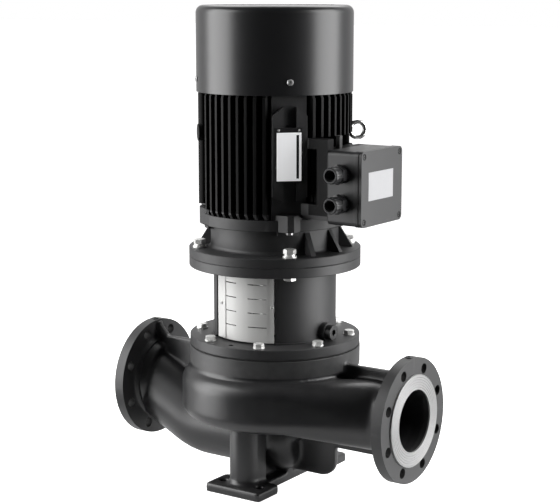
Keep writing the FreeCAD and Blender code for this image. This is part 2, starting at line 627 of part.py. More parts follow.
def impeller():
    """Two shrouds around backward-curved blades, on a keyed hub."""
    hub, tip = size("impeller_hub") / 2, size("impeller") / 2
    low, high = size("outlet_bottom"), size("outlet_top")
    shroud, eye, neck = size("shroud"), size("eye") / 2, size("eye_neck")
    foot, top = size("hub_bottom"), size("hub_top")
    entry = size("neck_end")

    def spun(points):
        wire = Part.makePolygon([V(radius, 0, height) for radius, height in points + points[:1]])
        return Part.Face(wire).revolve(V(), UP, 360)
    back = spun([(0, foot), (hub, foot), (hub, high - 2), (hub + 12, high), (tip, high), (tip, high + shroud), (hub, top),
                 (0, top)])
    front = spun([(eye, entry), (neck, entry), (neck, low - 12), (neck + 6, low - 9), (tip, low - shroud), (tip, low),
                  (neck + 2, low - 5), (eye, low - 11)])
    passage = spun([(hub + 8, foot), (eye, low - 13), (neck + 2, low - 7), (tip - 1, low - 1), (tip - 1, high + 1),
                    (hub + 8, high + 1)])
    thick, count = size("blade"), int(size("blade_count"))
    spine = [V(radius * math.cos(math.radians(lag)), -radius * math.sin(math.radians(lag)), foot)
             for radius, lag in ((hub + 6, 0), ((hub + tip) / 2, 0.44 * size("blade_lag")), (tip + 4, size("blade_lag")))]
    circle = Part.Arc(*spine).toShape().Curve
    sides = [Part.Arc(*[circle.Center + (point - circle.Center) * (1 + side * thick / 2 / circle.Radius)
                        for point in spine]).toShape() for side in (-1, 1)]
    ends = [Part.makeLine(sides[0].Vertexes[k].Point, sides[1].Vertexes[k].Point) for k in (0, 1)]
    blade = Part.Face(Part.Wire(Part.__sortEdges__(sides + ends))).extrude(UP * (high - foot + 2)).common(passage)
    blades = []
    for k in range(count):
        turn = blade.copy()
        turn.rotate(V(), UP, 360 * k / count)
        blades.append(turn)
    bore = Part.makeCylinder(size("impeller_seat") / 2 + size("fit_gap"), top - foot + 2, V(0, 0, foot - 1))
    gap = size("fit_gap")
    key = Part.makeBox(size("key_reach") + gap, size("key_width") + 2 * gap, top - foot + 2,
                       V(0, -size("key_width") / 2 - gap, foot - 1))
    return back.multiFuse([front] + blades).cut(bore.fuse(key))


node("impeller", solid(impeller()))
node("impeller_nut", cut(
    fuse(cylinder("impeller_nut * 0.8", "3", z="hub_bottom - 3"),
         hexagon("impeller_nut * 1.5", "10", z="hub_bottom - 13")),
    cylinder("impeller_nut / 2 + fit_gap", "20", z="hub_bottom - 15")))
node("impeller_key", block("key_reach - key_floor", "key_width", "key_length", "(key_reach + key_floor) / 2",
                           z="hub_bottom + 4"))
node("pump_shaft", cut(
    turned(("0", "hub_bottom - 18"), ("impeller_nut / 2 - 1", "hub_bottom - 18"),
           ("impeller_nut / 2", "hub_bottom - 17"), ("impeller_nut / 2", "hub_bottom"),
           ("impeller_seat / 2", "hub_bottom"), ("impeller_seat / 2", "hub_top"), ("pump_shaft / 2", "hub_top"),
           ("pump_shaft / 2", "pump_shaft_top - 1"), ("pump_shaft / 2 - 1", "pump_shaft_top"),
           ("0", "pump_shaft_top")),
    block("key_floor", "key_width + 2 * fit_gap", "key_length + 2 * fit_gap", "1.5 * key_floor - fit_gap",
          z="hub_bottom + 4 - fit_gap")))
node("seal_seat", ring("seal_hole", "seal_pocket - fit_gap", "seal_level", "seat_top"))
node("seal_rotary", ring("pump_shaft / 2 + fit_gap", "pump_shaft / 2 + 11", "rotary_bottom", "seal_level - seat_gap"))
node("seal_bellows", turned(
    ("pump_shaft / 2 + fit_gap", "hub_top"), ("seal_bellows / 2", "hub_top"), ("seal_bellows / 2", "hub_top + 2"),
    ("seal_bellows / 2 - seal_fold", "(hub_top + rotary_bottom) / 2 - 1"),
    ("seal_bellows / 2 - seal_fold", "(hub_top + rotary_bottom) / 2 + 1"),
    ("seal_bellows / 2", "rotary_bottom - 2"), ("seal_bellows / 2", "rotary_bottom"),
    ("pump_shaft / 2 + fit_gap", "rotary_bottom")))


# Rigid coupling: two halves clamped on both shaft ends by four screws.
SCREW_PLACES = [("%d * coupling_screw_across" % side, height) for side in (-1, 1)
                for height in ("coupling_bottom + coupling_screw_rise", "coupling_top - coupling_screw_rise")]


def coupling_half(side):
    sleeve = turned(
        ("pump_shaft / 2 + fit_gap", "coupling_bottom"), ("coupling / 2 - 2", "coupling_bottom"),
        ("coupling / 2", "coupling_bottom + 2"), ("coupling / 2", "coupling_top - 2"),
        ("coupling / 2 - 2", "coupling_top"), ("motor_shaft / 2 + fit_gap", "coupling_top"),
        ("motor_shaft / 2 + fit_gap", "shaft_end - shaft_gap / 2"),
        ("pump_shaft / 2 + fit_gap", "shaft_end - shaft_gap / 2"))
    half = common(sleeve, block("coupling", "coupling / 2", "coupling_top - coupling_bottom",
                                y="%d * (clamp_gap / 2 + coupling / 4)" % side, z="coupling_bottom"))
    if side > 0:
        holes = [cylinder("coupling_screw / 2 + fit_gap", "screw_grip + 4", x, "0", z, ALONG_Y)
                 for x, z in SCREW_PLACES]
    else:
        holes = [cylinder("coupling_screw / 2 + 0.5", "coupling", x, "0", z, AGAINST_Y) for x, z in SCREW_PLACES]
        holes += [cylinder("coupling_screw + 0.5", "coupling", x, "0 - screw_seat", z, AGAINST_Y)
                  for x, z in SCREW_PLACES]
    return cut(half, *holes)


node("coupling_half_front", coupling_half(-1))
node("coupling_half_rear", coupling_half(1))
for number, (x, z) in enumerate(SCREW_PLACES, 1):
    node("coupling_screw_%d" % number, cut(
        fuse(cylinder("coupling_screw * 0.8", "coupling_screw", x, "0 - screw_seat", z, AGAINST_Y),
             cylinder("coupling_screw / 2", "screw_seat + screw_grip", x, "0 - screw_seat", z, ALONG_Y)),
        hexagon("coupling_screw * 0.75", "coupling_screw", x, "0 - screw_seat - coupling_screw / 2", z, AGAINST_Y)))


# Motor: shaft, rotor, stator, windings and bearings.
node("motor_shaft", turned(
    ("0", "shaft_end"), ("motor_shaft / 2 - 1", "shaft_end"), ("motor_shaft / 2", "shaft_end + 1"),
    ("motor_shaft / 2", "bearing_a_bottom - 4"), ("bearing_seat / 2", "bearing_a_bottom - 4"),
    ("bearing_seat / 2", "bearing_a_top"), ("rotor_seat / 2", "bearing_a_top"), ("rotor_seat / 2", "bearing_b_bottom"),
    ("bearing_seat / 2", "bearing_b_bottom"), ("bearing_seat / 2", "bearing_b_top - 1"), ("fan_seat / 2", "bearing_b_top - 1"),
    ("fan_seat / 2", "shaft_top - 1"), ("fan_seat / 2 - 1", "shaft_top"), ("0", "shaft_top")))
node("rotor_core", turned(
    ("rotor_seat / 2 + fit_gap", "core_bottom"), ("cage_inner", "core_bottom"), ("cage_inner", "core_bottom - cage_rise"),
    ("rotor_radius - 1.5", "core_bottom - cage_rise"), ("rotor_radius - 1.5", "core_bottom"),
    ("rotor_radius", "core_bottom"), ("rotor_radius", "core_top"), ("rotor_radius - 1.5", "core_top"),
    ("rotor_radius - 1.5", "core_top + cage_rise"), ("cage_inner", "core_top + cage_rise"), ("cage_inner", "core_top"),
    ("rotor_seat / 2 + fit_gap", "core_top")))
node("stator_core", ring("stator_bore / 2", "frame_bore / 2 - fit_gap", "core_bottom", "core_top"))


def winding(level, rise):
    """The overhang of the coils at one end of the core."""
    inner, outer = "winding_inner / 2", "winding_inner / 2 + winding_depth"
    return turned((inner, level), (outer, level), (outer, "%s + %s * winding_length * 0.8" % (level, rise)),
                  (outer + " - 5", "%s + %s * winding_length" % (level, rise)),
                  (inner + " + 5", "%s + %s * winding_length" % (level, rise)),
                  (inner, "%s + %s * winding_length * 0.8" % (level, rise)))


node("winding_lower", winding("core_bottom", "-1"))
node("winding_upper", winding("core_top", "1"))


def bearing(name, outer, width, bottom, top):
    """A sealed ball bearing: the outer ring with its seals, and the inner ring."""
    wall = "((%s) - bearing_seat) / 8" % outer
    node(name + "_inner", ring("bearing_seat / 2 + fit_gap", "bearing_seat / 2 + " + wall, bottom, top))
    lip = "bearing_seat / 2 + seat_gap + " + wall
    node(name + "_outer", turned(
        (lip, bottom), (outer + " / 2 - fit_gap", bottom), (outer + " / 2 - fit_gap", top), (lip, top),
        (lip, top + " - bearing_seal"), (outer + " / 2 - " + wall, top + " - bearing_seal"),
        (outer + " / 2 - " + wall, bottom + " + bearing_seal"), (lip, bottom + " + bearing_seal")))


bearing("bearing_a", "bearing_a", "bearing_a_width", "bearing_a_bottom", "bearing_a_top")
bearing("bearing_b", "bearing_b", "bearing_b_width", "bearing_b_bottom", "bearing_b_top")


def shield_drive_end():
    """The flange, the drive end bearing housing and four screw lugs."""
    shell = turned(
        ("motor_shaft / 2 + 3", "motor_face - spigot_depth"), ("motor_shaft / 2 + 12", "motor_face - spigot_depth"),
        ("motor_shaft / 2 + 20", "motor_face + 6"), ("motor_spigot / 2 - 14", "motor_face + 6"),
        ("motor_spigot / 2 - 14", "motor_face - spigot_depth"), ("motor_spigot / 2", "motor_face - spigot_depth"),
        ("motor_spigot / 2", "motor_face"), ("motor_flange / 2 - rim_bevel", "motor_face"),
        ("motor_flange / 2", "motor_face + rim_bevel"), ("motor_flange / 2", "motor_flange_top - rim_bevel"),
        ("motor_flange / 2 - rim_bevel", "motor_flange_top"), ("shield_body / 2", "motor_flange_top"),
        ("shield_body / 2", "frame_bottom"), ("register", "frame_bottom"), ("register", "frame_bottom + 6"),
        ("register - 7", "frame_bottom + 6"), ("register - 9", "bearing_a_bottom + 4"),
        ("bearing_a / 2 + 11", "bearing_a_bottom + 4"), ("bearing_a / 2 + 9", "bearing_a_top + 2"),
        ("bearing_a / 2", "bearing_a_top + 2"), ("bearing_a / 2", "bearing_a_bottom"),
        ("bearing_a / 2 - 6", "bearing_a_bottom"), ("bearing_a / 2 - 6", "bearing_a_bottom - 1"),
        ("motor_shaft / 2 + 3", "bearing_a_bottom - 1"))
    flare = turned(("shield_body / 2 - 3", "motor_flange_top - 1"), ("motor_flange / 2 - 13", "motor_flange_top - 1"),
                   ("shield_body / 2 + 2", "frame_bottom - 6"), ("shield_body / 2 - 3", "frame_bottom - 6"))
    webs = around(lambda a: radial_block("shield_body / 2 - 3", "motor_flange / 2", "shield_rib", "motor_flange_top - 1",
                                         "shield_height", a), (-27, 0, 27, 153, 180, 207))
    lugs = around(lambda a: radial_block("shield_body / 2 - 4", "ear_reach - 6", "ear_width - 12", "frame_bottom - lug",
                                         "lug", a), DIAGONALS)
    holes = around(lambda a: cylinder("screw_twelve / 2 + 0.75", "2 * motor_flange_thickness",
                                      *polar("motor_bolt_circle / 2", a), "motor_face - 1"), DIAGONALS)
    return cut(fuse(shell, common(flare, fuse(*webs)), *lugs), *holes)


def shield_fan_end():
    """The fan end cover with its bearing housing and the four lugs that carry the fan cover."""
    plate = turned(
        ("fan_seat / 2 + 1", "bearing_b_top + 1"), ("bearing_b / 2 - 6", "bearing_b_top + 1"),
        ("bearing_b / 2 - 6", "bearing_b_top"), ("bearing_b / 2", "bearing_b_top"),
        ("bearing_b / 2", "bearing_b_bottom - 2"),
        ("bearing_b / 2 + 9", "bearing_b_bottom - 2"), ("bearing_b / 2 + 10", "frame_top + 3"),
        ("register - 7", "frame_top + 3"), ("register - 7", "frame_top - 6"), ("register", "frame_top - 6"),
        ("register", "frame_top"), ("frame_outer", "frame_top"), ("frame_outer", "shield_b_top"),
        ("fan_seat / 2 + 1", "shield_b_top"))
    lugs = around(lambda a: radial_block("frame_outer - 8", "fan_cover / 2 - sheet - seat_gap", "cover_lug",
                                         "fan_cover_screw - cover_lug / 2 + 4", "cover_lug - 8", a), DIAGONALS)
    edge = cylinder("fan_cover / 2 - sheet - fit_gap", "60", z="frame_top")
    return common(fuse(plate, *lugs), fuse(edge, cylinder("frame_outer", "60", z="frame_top - 30")))


node("shield_drive_end", shield_drive_end())
node("shield_fan_end", shield_fan_end())


# Stator frame: a finned barrel with pads, ears, lifting bosses and the seat of the terminal box.

def prism(corners, run, angle):
    """A prism on corners given as (out, across, height) at an angle about the shaft, drawn along a run."""
    turned_by = FreeCAD.Rotation(UP, angle)
    wire = Part.makePolygon([turned_by.multVec(V(*corner)) for corner in corners + corners[:1]])
    return Part.Face(wire).extrude(turned_by.multVec(V(*run)))


def frame_pad(angle):
    """A flat panel between two groups of fins, with two raised rails that have sloping ends."""
    inner, outer = size("pad_channel") / 2, size("pad_width") / 2
    low, high = size("pad_bottom"), size("pad_top")
    reach, core = size("pad_reach"), size("frame_bore") / 2 - 2
    bottom, base = size("ring_top") - 4, size("pad_base")
    panel = [(core, side * outer, bottom) for side in (-1, 1)] + [(core, side * outer, size("frame_top"))
                                                                   for side in (1, -1)]
    pieces = [prism(panel, (base - core, 0, 0), angle)]
    for side in (-1, 1):
        rail = [(inner, low), (outer, low + size("pad_slope_low")), (outer, high - size("pad_slope_high")),
                (inner, high)]
        pieces.append(prism([(base - 2, side * across, height) for across, height in rail],
                            (reach - base + 2, 0, 0), angle))
    return solid(pieces[0].multiFuse(pieces[1:]))


def frame_ear(angle):
    """A three-sided ear at the foot of the frame."""
    flat, half, reach, core = size("ear_flat") / 2, size("ear_width") / 2, size("ear_reach"), size("frame_bore") / 2 - 2
    slant = reach - (half - flat)
    plan = [(core, -half), (slant, -half), (reach, -flat), (reach, flat), (slant, half), (core, half)]
    return solid(prism([(out, across, size("frame_bottom")) for out, across in plan], (0, 0, size("ear_rise")), angle))


def box_pedestal():
    """The seat of the terminal box: a plate on a narrower core, with a shelf below and a ledge above."""
    wide, bottom = "box_width - 2 * box_rim", "box_level - pedestal_drop"
    back = "box_inner_face - pedestal_plate"
    core = "frame_bore / 3"

    def part(start, end, width, low, height):
        return block("%s - (%s)" % (end, start), width, height, "(%s + %s) / 2" % (start, end), "0 - box_offset", low)
    rise = "pedestal_rise + pedestal_drop"
    return [part(back, "box_inner_face", wide, bottom, rise), part(core, back, "pedestal_width", bottom, rise),
            part(core, back, wide, bottom, "pedestal_shelf"),
            part(core, back, wide, "box_level + pedestal_rise - pedestal_top", "pedestal_top")]


def stator_frame():
    barrel = turned(
        ("0", "frame_bottom"), ("frame_ring / 2", "frame_bottom"), ("frame_ring / 2", "ring_top - 4"),
        ("frame_outer", "ring_top"), ("frame_outer", "frame_top"), ("0", "frame_top"))
    plates = []
    for k in range(-4, 5):
        shift = "%d * fin_pitch" % k
        low = "ring_top - 4"
        plates.append(block("fin_tip", "fin_thickness", "frame_top - (%s)" % low, y=shift, z=low))
        plates.append(block("fin_thickness", "fin_tip", "frame_top - (%s)" % low, x=shift, z=low))
    tips = turned(("0", "ring_top - 4"), ("frame_ring / 2 - 2", "ring_top - 4"), ("fin_tip / 2", "ring_top + 4"),
                  ("fin_tip / 2", "fan_cover_bottom - 4"), ("fan_cover / 2 - sheet - seat_gap", "fan_cover_bottom - 4"),
                  ("fan_cover / 2 - sheet - seat_gap", "frame_top"), ("0", "frame_top"))
    fins = common(fuse(*plates), tips)
    lifts = [cylinder("boss / 2", "%s - frame_bore / 2 - 2" % reach, *polar("frame_bore / 2 + 2", str(angle)),
                      "eye_level", outward(angle)) for angle, reach in ((45, "eye_seat"), (225, "pad_reach"))]
    hole = cylinder("screw_ten / 2 + fit_gap", "eye_thread + 2", *polar("eye_seat - eye_thread - 2", "45"), "eye_level",
                    outward(45))
    way = cylinder("cable_way / 2", "box_inner_face", "frame_bore / 4", "0 - box_offset", "cable_way_level", ALONG_X)
    body = fuse(barrel, fins, *[frame_pad(a) for a in (135, 315)], *[frame_ear(a) for a in DIAGONALS], *lifts,
                *box_pedestal())
    return cut(body, cylinder("frame_bore / 2", "2 * frame_height", z="frame_bottom - 50"), hole, way)


node("stator_frame", stator_frame())
LIFT = outward(45)
node("eyebolt", fuse(
    cylinder("boss / 2 - 1", "eye_collar", *polar("eye_seat", "45"), "eye_level", LIFT),
    cylinder("screw_ten / 2", "eye_thread", *polar("eye_seat - eye_thread", "45"), "eye_level", LIFT),
    cylinder("eye_wire / 2 + 1", "eye_reach - eye_ring / 2 + eye_wire / 2 - eye_seat", *polar("eye_seat", "45"),
             "eye_level", LIFT),
    torus("eye_ring / 2 - eye_wire / 2", "eye_wire / 2", *polar("eye_reach", "45"), "eye_level",
          (V(math.cos(math.radians(45)), math.sin(math.radians(45)), 0), 90))))


# Fan end: cooling fan and the sheet cover with its ring grille.

def cooling_fan():
    hub = ring("fan_seat / 2 + fit_gap", "fan_hub / 2", "fan_level", "fan_level + fan_width")
    disc = ring("fan_hub / 2 - 1", "fan / 2", "fan_level", "fan_level + 3")
    count = int(size("fan_blades"))
    blades = around(lambda a: radial_block("fan_hub / 2 - 1", "fan / 2", "fan_blade", "fan_level + 2", "fan_width - 6",
                                           a), [k * 360 / count for k in range(count)])
    return fuse(hub, disc, *blades)


def fan_cover():
    rim, top = "fan_cover / 2", "fan_cover_top"

    def bend(radius):
        return [("%s - fan_cover_edge + (%s) * cos(%s)" % (rim, radius, turn),
                 "%s - fan_cover_edge + (%s) * sin(%s)" % (top, radius, turn)) for turn in (0, 30, 60, 90)]
    shell = turned(("fan_cover / 2 - sheet", "fan_cover_bottom"), ("fan_cover / 2", "fan_cover_bottom"),
                   *bend("fan_cover_edge"), ("0", top), ("0", top + " - sheet"),
                   *reversed(bend("fan_cover_edge - sheet")))
    slots = [ring("grille_start + %d * grille_pitch" % k, "grille_start + grille_slot + %d * grille_pitch" % k,
                  "fan_cover_top - 2 * sheet", "fan_cover_top + sheet") for k in range(5)]
    bars = fuse(*[radial_block("0 - fan_cover", "fan_cover", "grille_bar", "fan_cover_top - 2 * sheet", "4 * sheet",
                                str(angle)) for angle in (0, 45, 90, 135)])
    holes = [cylinder("cover_screw / 2", "20", *polar("fan_cover / 2 - 10", str(angle)), "fan_cover_screw",
                      outward(angle)) for angle in DIAGONALS]
    return cut(shell, cut(fuse(*slots), bars), *holes)


node("cooling_fan", cooling_fan())
node("fan_cover", fan_cover())


# Terminal box on the discharge side, with two cable glands facing -Y.

def box_along_x(start, end, width, height, corner):
    """A box with its four long edges rounded, lying along X about the middle of the terminal box."""
    y, z, run = "0 - box_offset", "box_level", "(%s) - (%s)" % (end, start)
    x = "((%s) + (%s)) / 2" % (start, end)
    pieces = [block(run, "(%s) - 2 * (%s)" % (width, corner), height, x, y, "%s - (%s) / 2" % (z, height)),
              block(run, width, "(%s) - 2 * (%s)" % (height, corner), x, y, "%s - (%s) / 2 + %s" % (z, height, corner))]
    for side in (-1, 1):
        for rise in (-1, 1):
            pieces.append(cylinder(corner, run, start, "%s + %d * ((%s) / 2 - (%s))" % (y, side, width, corner),
                                   "%s + %d * ((%s) / 2 - (%s))" % (z, rise, height, corner), ALONG_X))
    return fuse(*pieces)


GLANDS = {"lower": "box_level - gland_spacing / 2", "upper": "box_level + gland_spacing / 2"}
BOX_SCREWS = [("0 - box_offset + %d * (box_width / 2 - box_screw_inset)" % side,
               "box_level + %d * (box_height / 2 - box_screw_inset)" % rise) for side in (-1, 1) for rise in (-1, 1)]


def terminal_box_base():
    body = box_along_x("box_inner_face", "box_seam", "box_width - 2 * box_rim", "box_height - 2 * box_rim", "box_corner")
    rim = box_along_x("box_seam - rim_depth", "box_seam", "box_width", "box_height", "box_corner + box_rim")
    inside = box_along_x("box_inner_face + box_wall", "box_seam + 1", "box_width - 2 * box_rim - 2 * box_wall",
                         "box_height - 2 * box_rim - 2 * box_wall", "box_corner - box_wall")
    posts = [cylinder("box_screw_inset - box_wall / 2", "box_seam - box_inner_face - 1", "box_inner_face + 1", y, z,
                      ALONG_X) for y, z in BOX_SCREWS]
    taps = [cylinder("box_screw / 2 + fit_gap", "30", "box_seam - 20", y, z, ALONG_X) for y, z in BOX_SCREWS]
    entries = [cylinder("gland_thread / 2 + fit_gap", "20", "gland_place", "0 - gland_wall + 10", z, AGAINST_Y)
               for z in GLANDS.values()]
    way = cylinder("cable_way / 2", "20", "box_inner_face - 5", "0 - box_offset", "cable_way_level", ALONG_X)
    hollow = cut(fuse(body, rim), inside)
    return cut(fuse(hollow, common(fuse(*posts), box_along_x("box_inner_face", "box_seam", "box_width - 2 * box_rim",
                                                             "box_height - 2 * box_rim", "box_corner"))),
               *taps, *entries, way)


def box_seal():
    sheet = box_along_x("box_seam", "cover_seam", "box_width - 2", "box_height - 2", "box_corner")
    inside = box_along_x("box_seam - 1", "cover_seam + 1", "box_width - 2 - 4 * box_wall",
                         "box_height - 2 - 4 * box_wall", "box_corner")
    return cut(sheet, inside, *[cylinder("box_screw / 2 + 0.5", "10", "box_seam - 3", y, z, ALONG_X)
                                for y, z in BOX_SCREWS])


def terminal_box_cover():
    plate = box_along_x("cover_seam", "cover_face", "box_width", "box_height", "box_corner + box_rim")
    holes = [cylinder("box_screw / 2 + 0.5", "20", "cover_seam - 5", y, z, ALONG_X) for y, z in BOX_SCREWS]
    sinks = [cylinder("box_screw", "10", "cover_face - box_cover / 2", y, z, ALONG_X) for y, z in BOX_SCREWS]
    return cut(plate, *holes, *sinks)


def terminal_block():
    """An insulating block with a rib between each pair of its six studs."""
    start = "box_inner_face + box_wall"
    y, z = "0 - box_offset", "box_level"
    base = block("12", "66", "44", start + " + 6", y, z + " - 22")
    ribs = [block("20", "3", "44", start + " + 10", "%s + %d" % (y, shift), z + " - 22") for shift in (-31, -11, 11, 31)]
    studs = [cylinder("3", "24", start + " + 2", "%s + %d" % (y, across), "%s + %d" % (z, rise), ALONG_X)
             for across in (-21, 0, 21) for rise in (-11, 11)]
    return fuse(base, *ribs, *studs)


def gland(name, level):
    place_x = "gland_place"

    def tube(radius, start, end):
        return cylinder(radius, "(%s) - (%s)" % (end, start), place_x, "0 - (%s)" % start, level, AGAINST_Y)

    def six(flats, start, end):
        """A hexagon with its corners turned down."""
        return common(hexagon(flats, "(%s) - (%s)" % (end, start), place_x, "0 - (%s)" % start, level, AGAINST_Y),
                      tube("gland_round / 2", start, end))
    node("gland_body_" + name, cut(
        fuse(tube("gland_thread / 2", "gland_wall - box_wall - 4", "gland_face - 8"),
             six("gland_collar", "gland_wall", "gland_wall + 6")),
        tube("gland_hole / 2", "gland_wall - 40", "gland_face + 5")))
    node("gland_nut_" + name, cut(
        fuse(six("gland_nut", "gland_wall + 7", "gland_face - 7"), tube("gland_nut / 2 - 2", "gland_face - 8", "gland_face")),
        tube("gland_thread / 2 + fit_gap", "gland_wall", "gland_face - 7.5"),
        tube("gland_hole / 2", "gland_wall", "gland_face + 5")))


node("terminal_box_base", terminal_box_base())
node("terminal_box_gasket", box_seal())
node("terminal_box_cover", terminal_box_cover())
node("terminal_block", terminal_block())
for name, level in GLANDS.items():
    gland(name, level)


def check_and_write():
    """Recomputes, stops at any failed object, and writes each sub-part to its own file."""
    doc.recompute()
    for item in doc.Objects:
        if "Invalid" in item.State or "Error" in item.State:
            raise RuntimeError("%s could not be built" % item.Label)
    for name, item in NODES.items():
        if item.Shape.isNull() or not item.Shape.isValid():
            raise RuntimeError("%s has no valid shape" % name)
    os.makedirs("parts", exist_ok=True)
    for name, item in NODES.items():
        item.Shape.exportStep("parts/%s.step" % name)


check_and_write()
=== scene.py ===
import json
import math

import bpy
from mathutils import Matrix, Vector

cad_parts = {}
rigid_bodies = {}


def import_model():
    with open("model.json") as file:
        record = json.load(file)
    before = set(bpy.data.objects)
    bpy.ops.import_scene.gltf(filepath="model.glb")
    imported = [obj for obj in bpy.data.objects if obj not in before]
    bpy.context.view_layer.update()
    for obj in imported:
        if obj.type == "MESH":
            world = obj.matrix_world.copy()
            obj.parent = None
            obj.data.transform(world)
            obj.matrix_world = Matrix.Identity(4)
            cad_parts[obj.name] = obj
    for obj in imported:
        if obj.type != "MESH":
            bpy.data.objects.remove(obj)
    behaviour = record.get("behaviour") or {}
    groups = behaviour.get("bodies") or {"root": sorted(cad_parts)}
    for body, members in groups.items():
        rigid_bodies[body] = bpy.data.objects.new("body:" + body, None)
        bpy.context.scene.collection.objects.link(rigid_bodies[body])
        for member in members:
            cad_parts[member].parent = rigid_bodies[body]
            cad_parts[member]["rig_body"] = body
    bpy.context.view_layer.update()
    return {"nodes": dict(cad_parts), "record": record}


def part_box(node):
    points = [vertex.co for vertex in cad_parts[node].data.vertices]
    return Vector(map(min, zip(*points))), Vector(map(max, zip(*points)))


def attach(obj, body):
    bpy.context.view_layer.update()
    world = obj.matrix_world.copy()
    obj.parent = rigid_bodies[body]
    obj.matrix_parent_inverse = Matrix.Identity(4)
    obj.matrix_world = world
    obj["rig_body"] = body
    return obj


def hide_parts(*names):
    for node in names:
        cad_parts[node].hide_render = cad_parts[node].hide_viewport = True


# The looks of an in-line circulation pump, in metres, around the model's own pieces.

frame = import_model()

MM = 0.001
X, Z = Vector((1, 0, 0)), Vector((0, 0, 1))
SHAFT = Vector((0, 0, 0))
EIGHT = [math.radians(22.5 + 45 * k) for k in range(8)]
DIAGONALS = [math.radians(angle) for angle in (45, 135, 225, 315)]
FRONT = math.radians(-45)


def mount(name):
    return next(m for m in frame["record"]["mounts"] if m["name"] == name)


def top(node):
    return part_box(node)[1].z


def bottom(node):
    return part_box(node)[0].z


# Sizes read from the model.
PORT = mount("discharge_flange")
PORT_LEVEL = PORT["pos_m"][2]
PORT_CIRCLE = PORT["dims"]["pcd_mm"] / 2 * MM
PORT_HOLE = PORT["dims"]["hole_r_mm"] * MM
FLANGE_FACE = PORT["pos_m"][0]
RAISED_FACE = mount("discharge_face")["pos_m"][0]
NECK_TOP = bottom("casing_gasket")
HEAD_TOP = bottom("coupling_guard_front") - 3 * MM
COVER_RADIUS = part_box("fan_cover")[1].x
COVER_BOTTOM = bottom("fan_cover")
COVER_TOP = top("fan_cover")
SCREW_LEVEL = COVER_BOTTOM + 22 * MM
EYE = Vector(mount("lifting_eye")["pos_m"])
BOX_LOW, BOX_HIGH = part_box("terminal_box_cover")
BOX_FACE = BOX_HIGH.x
FRAME_BOTTOM = bottom("stator_frame")

# Sizes of the ports.
PORT_BORE = 53 * MM
PORT_RIM = 107.5 * MM
FLANGE_BACK = FLANGE_FACE - 19 * MM
RAISED_RADIUS = 79 * MM
HUB_RADIUS = 73 * MM

# Sizes of the neck, the motor and what is fastened to them.
NECK_RADIUS = 150 * MM
SHIELD_WALL = 112 * MM
SIDE_EAR_REACH = 131.5 * MM
EAR_RISE = 28.5 * MM
LUG_REACH = 123 * MM
PAD_REACH = 134 * MM
HEAD_CIRCLE = 132.5 * MM
TEN = dict(flats=16 * MM, rise=6.4 * MM, thread=10 * MM)
TEN_WASHER = (10 * MM, 2 * MM)
TEN_LENGTH = 33 * MM
TWELVE = dict(flats=19 * MM, rise=8 * MM, thread=12 * MM)
TWELVE_WASHER = (12 * MM, 3 * MM)
LOCK_WASHER = (9.6 * MM, 3.5 * MM)
NUT_RISE = 6 * MM
FLANGE_TOP = top("flange_bolt_1") - TWELVE["rise"] - TWELVE_WASHER[1] - LOCK_WASHER[1]
TWELVE_LENGTH = FLANGE_TOP - top("flange_nuts") + NUT_RISE
PROUD = 0.15 * MM


# Working with one piece at a time.

def leave_edit():
    if bpy.context.mode != "OBJECT":
        bpy.ops.object.mode_set(mode="OBJECT")


def only(piece):
    """Selects one piece and nothing else, in object mode."""
    leave_edit()
    bpy.ops.object.select_all(action="DESELECT")
    piece.select_set(True)
    bpy.context.view_layer.objects.active = piece


def edit(piece):
    """Opens a piece in edit mode, by its vertices, with nothing selected."""
    only(piece)
    bpy.ops.object.mode_set(mode="EDIT")
    bpy.ops.mesh.select_mode(type="VERT")
    bpy.ops.mesh.select_all(action="DESELECT")


def applied(piece, kind, **settings):
    """Adds one modifier with its settings and applies it."""
    only(piece)
    step = piece.modifiers.new(kind.lower(), kind)
    for name, value in settings.items():
        setattr(step, name, value)
    bpy.ops.object.modifier_apply(modifier=step.name)
    return piece


def bevelled(piece, width, segments=2, angle=30):
    """Breaks the edges that are sharper than an angle."""
    return applied(piece, "BEVEL", width=width, segments=segments, limit_method="ANGLE",
                   angle_limit=math.radians(angle), miter_outer="MITER_ARC")


def smooth(piece, angle=35):
    """Smooth shading that keeps the sharp edges and leans on the large faces."""
    only(piece)
    bpy.ops.object.shade_smooth_by_angle(angle=math.radians(angle))
    return applied(piece, "WEIGHTED_NORMAL", keep_sharp=True, weight=100)


def named(piece, name):
    piece.name = name
    piece.data.name = name
    return piece


def settled(piece):
    """Moves a piece's place and turn into its mesh."""
    only(piece)
    bpy.ops.object.transform_apply(location=True, rotation=True, scale=True)
    return piece


def minus(piece, *tools):
    """Cuts tools out of a piece and removes them."""
    for tool in tools:
        applied(piece, "BOOLEAN", operation="DIFFERENCE", object=tool, solver="EXACT")
        bpy.data.objects.remove(tool)


def joined(name, *pieces):
    """Makes one piece of several."""
    leave_edit()
    bpy.ops.object.select_all(action="DESELECT")
    for piece in pieces:
        piece.select_set(True)
    bpy.context.view_layer.objects.active = pieces[0]
    bpy.ops.object.join()
    return named(pieces[0], name)


def again(piece, name, place):
    """A copy of a piece with its own mesh, moved by a matrix."""
    only(piece)
    bpy.ops.object.duplicate()
    copy = bpy.context.view_layer.objects.active
    copy.data.transform(place)
    return named(copy, name)


def copy_of(node, name):
    """A loose copy of one of the model's nodes, with its doubles merged and flat faces whole."""
    source = frame["nodes"][node]
    only(source)
    bpy.ops.object.duplicate()
    piece = bpy.context.view_layer.objects.active
    bpy.ops.object.parent_clear(type="CLEAR_KEEP_TRANSFORM")
    for key in list(piece.keys()):
        if key.startswith("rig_"):
            del piece[key]
    piece.data.materials.clear()
    bpy.ops.mesh.customdata_custom_splitnormals_clear()
    edit(piece)
    bpy.ops.mesh.select_all(action="SELECT")
    bpy.ops.mesh.remove_doubles(threshold=0.005 * MM)
    bpy.ops.mesh.dissolve_limited(angle_limit=math.radians(0.6))
    leave_edit()
    return named(piece, name)


